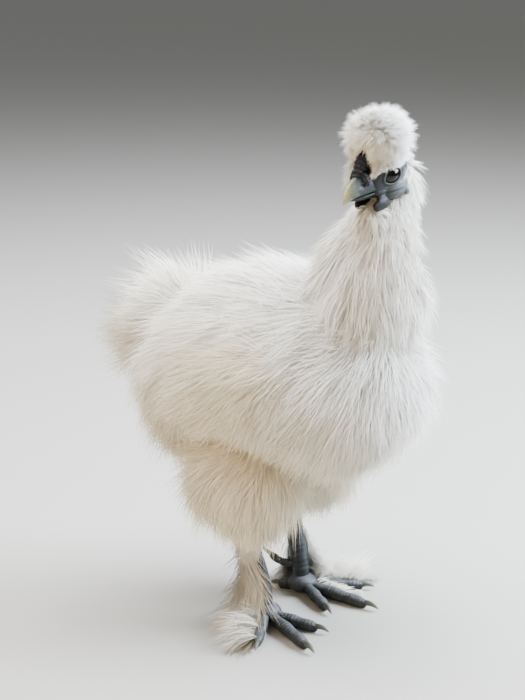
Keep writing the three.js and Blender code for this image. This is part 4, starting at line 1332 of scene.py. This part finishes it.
for label, foot in FEET.items():
    side, forward = foot["side"], foot["forward"]
    raised, joint = plated(shank(side, forward), LEG_PLATE, 0.3, lambda angle: -np.sin(angle))
    shapes, joints = [grid_mesh("shank", raised)], [joint]
    for index in TOES:
        raised, joint = plated(toe_loft(foot, index), TOE_PLATE, 0.25, np.sin)
        shapes.append(grid_mesh("toe", raised))
        joints.append(joint)
    pad = ball("pad", (forward, side * FOOT_SPREAD, 6.4), (9.5, 9.5, 6.3), 40, 24, to_world)
    shapes.append(pad)
    joints.append(np.zeros(len(pad.vertices)))
    made = joined(f"scaled_foot_{label}", shapes)
    made.data.shade_smooth()
    keep(made.data, joint=np.concatenate(joints))
    # Paler grey patches on the faces that turn upward
    keep(made.data, dust=np.clip(read(made.data.vertex_normals)[:, 2] - 0.15, 0, 1))
    stands_for(made, scale, "scale", f"shank_{label}", *(f"toe_{index}_{label}" for index in TOES))
print("a foot has", len(made.data.polygons), "faces")

# %% Claws
for label, foot in FEET.items():
    for index, toe in TOES.items():
        line = toe_line(foot, index)
        tip, run = line[3], (line[3] - line[2]).normalized()
        rise, long, half = (-4 if index == 5 else 0.9), 0.85 * toe["claw"], toe["half"]
        spine = [
            tip - 3 * run,
            tip + 0.5 * run + way(0, 0, rise * 0.12 + 0.5),
            tip + 0.55 * long * run + way(0, 0, rise * 0.1 + 0.4),
            tip + long * run - way(0, 0, rise),
        ]
        sizes = [(half * w, half * w * 1.1, half * w) for w in (0.44, 0.4, 0.3)] + [(0.7, 0.7, 0.7)]
        points, t, around = Loft(spine, sizes, blunt=3, rings=28, sides=18).grid()
        points[..., 2] = np.maximum(points[..., 2], FLOOR_SKIM)
        claw = as_object(grid_mesh(f"claw_horn_{index}_{label}", points))
        keep(claw.data, tip=np.append(np.repeat(t[1:-1], len(around)), [0, 1]))
        stands_for(claw, claw_horn, "horn", f"claw_{index}_{label}")
print("ten claws")

# %% [markdown]
# ## Boots
# Silkies have feathered feet: down grows on the outer side of each leg and along the outer toes,
# and it spreads in a loose fan that touches the ground.

# %% The coat of the legs and toes
for label, foot in FEET.items():
    side = foot["side"]
    b = Bed(f"shank_{label}", shank(side, foot["forward"]), -0.5, to_world)
    outer = b.out[:, 0] * -side
    behind = b.out[:, 1]
    b.says(
        lie=np.stack([-side * 0.9 * b.t, 0.6 * b.t, -1 + 0 * b.t], 1),
        length=mix(17, 44, (b.t - 0.35) / 0.3),
        lift=mix(10, 70, (b.t - 0.4) / 0.3),
        curl=mix(12, 56, (b.t - 0.35) / 0.4),
        warm=0.3,
        ruffle=0.7,
    )
    mask = np.clip(3 * (0.85 * outer + 0.5 * behind) - 1.6, 0, 1) * (b.t > 0.12) * (b.t < 0.93)
    grow(f"down_boot_{label}", b, mask, 110, barb=SHORT_BARB)
    for index in (3, 4) if label == "left" else (4,):
        b = Bed(f"toe_{index}_{label}", toe_loft(foot, index), -0.3, to_world)
        ahead = np.array(toe_line(foot, index)[3] - toe_line(foot, index)[0])
        outer = b.out[:, 0] * -side
        b.says(
            lie=ahead * 0.3 + np.array(way(-6, side * 12, -4)),
            length=30 if index == 4 else 12,
            lift=mix(68, 46, b.t),
            curl=56,
            warm=0.3,
            ruffle=0.5,
        )
        edge, end = (0.0, 0.8) if index == 4 else (0.45, 0.6)
        mask = np.clip(2 * (outer - edge), 0, 1) * (b.out[:, 2] > -0.2) * (b.t > 0.15) * (b.t < end)
        grow(f"down_toe_{index}_{label}", b, mask, 120, barb=SHORT_BARB)

# %% [markdown]
# ## Camera, light and floor
# The camera stands where the photographer's did: about a metre away, to the hen's right and in front,
# fifteen degrees above. The light is that of an open shaded yard: a broad cool sky in front of her to
# the left and above, and a weak warm bounce from her right, over a plain pale floor.

# %% Camera
VIEW_SIDE = math.radians(-50)
VIEW_HEIGHT = math.radians(15)
VIEW_FROM = 1000
AIM = way(-33.6, -25.8, 154.4)
FOCAL_PIXELS, LONG_SIDE_PIXELS, SENSOR = 1583, 700, 36
toward_camera = Vector((math.sin(VIEW_SIDE), -math.cos(VIEW_SIDE), math.tan(VIEW_HEIGHT))).normalized()
camera = bpy.data.objects.new("camera", bpy.data.cameras.new("camera"))
bpy.context.scene.collection.objects.link(camera)
camera.location = to_world @ (AIM + toward_camera * VIEW_FROM)
camera.rotation_euler = (-toward_camera).to_track_quat("-Z", "Y").to_euler()
camera.data.sensor_width = SENSOR
camera.data.lens = FOCAL_PIXELS / LONG_SIDE_PIXELS * SENSOR
bpy.context.scene.camera = camera

# %% Light and floor


def lamp(name, place, size, power, colour):
    """A square lamp that shines at the middle of the hen. Places are millimetres, and the size metres."""
    light = bpy.data.lights.new(name, "AREA")
    light.size, light.energy, light.color = size, power, linear(colour)[:3]
    made = bpy.data.objects.new(name, light)
    bpy.context.scene.collection.objects.link(made)
    made.location = at(*place)
    made.rotation_euler = (at(0, 0, 150) - made.location).to_track_quat("-Z", "Y").to_euler()


lamp("open sky at her left", (650, -750, 800), 0.8, 90, "#e2eeff")
lamp("sky overhead", (-200, -100, 1300), 1.2, 80, "#f4f8ff")
lamp("warm ground light", (100, 1000, 300), 0.9, 11, "#ffdfae")
world = bpy.data.worlds.new("overcast")
bpy.context.scene.world = world
world.use_nodes = True
sky = world.node_tree.nodes["Background"].inputs
sky["Color"].default_value = linear("#e4e8ec")
sky["Strength"].default_value = 0.42

FLOOR_REACH = 15
floor_mesh = bpy.data.meshes.new("floor")
corners = [(FLOOR_REACH * x, FLOOR_REACH * y, 0) for x, y in ((-1, -1), (1, -1), (1, 1), (-1, 1))]
floor_mesh.from_pydata(corners, [], [(0, 1, 2, 3)])
floor = as_object(floor_mesh)
plaster, tree, shader = new_finish("pale plaster floor", Roughness=0.9)
shader.inputs["Base Color"].default_value = linear("#a9a69e")
floor.data.materials.append(plaster)
floor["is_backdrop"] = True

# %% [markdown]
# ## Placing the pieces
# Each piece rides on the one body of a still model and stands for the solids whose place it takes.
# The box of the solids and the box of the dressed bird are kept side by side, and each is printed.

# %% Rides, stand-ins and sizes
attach(skin, "root")
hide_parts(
    "neck", "torso", "tail", "head", "wing_right", "wing_left", "thigh_right", "thigh_left", "crest"
)
for piece in coat_pieces:
    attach(piece, "root")
for piece, slot, nodes in hard_pieces:
    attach(piece, "root")
    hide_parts(*nodes)
total = sum(len(piece.data.polygons) for piece in coat_pieces)
print("the coat has", total, "triangles in", len(coat_pieces), "pieces")
shown_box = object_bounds()
sizes = {"cad": [list(corner) for corner in cad_box], "visual": [list(corner) for corner in shown_box]}
print("dressed from", [round(v, 3) for v in shown_box[0]], "to", [round(v, 3) for v in shown_box[1]])
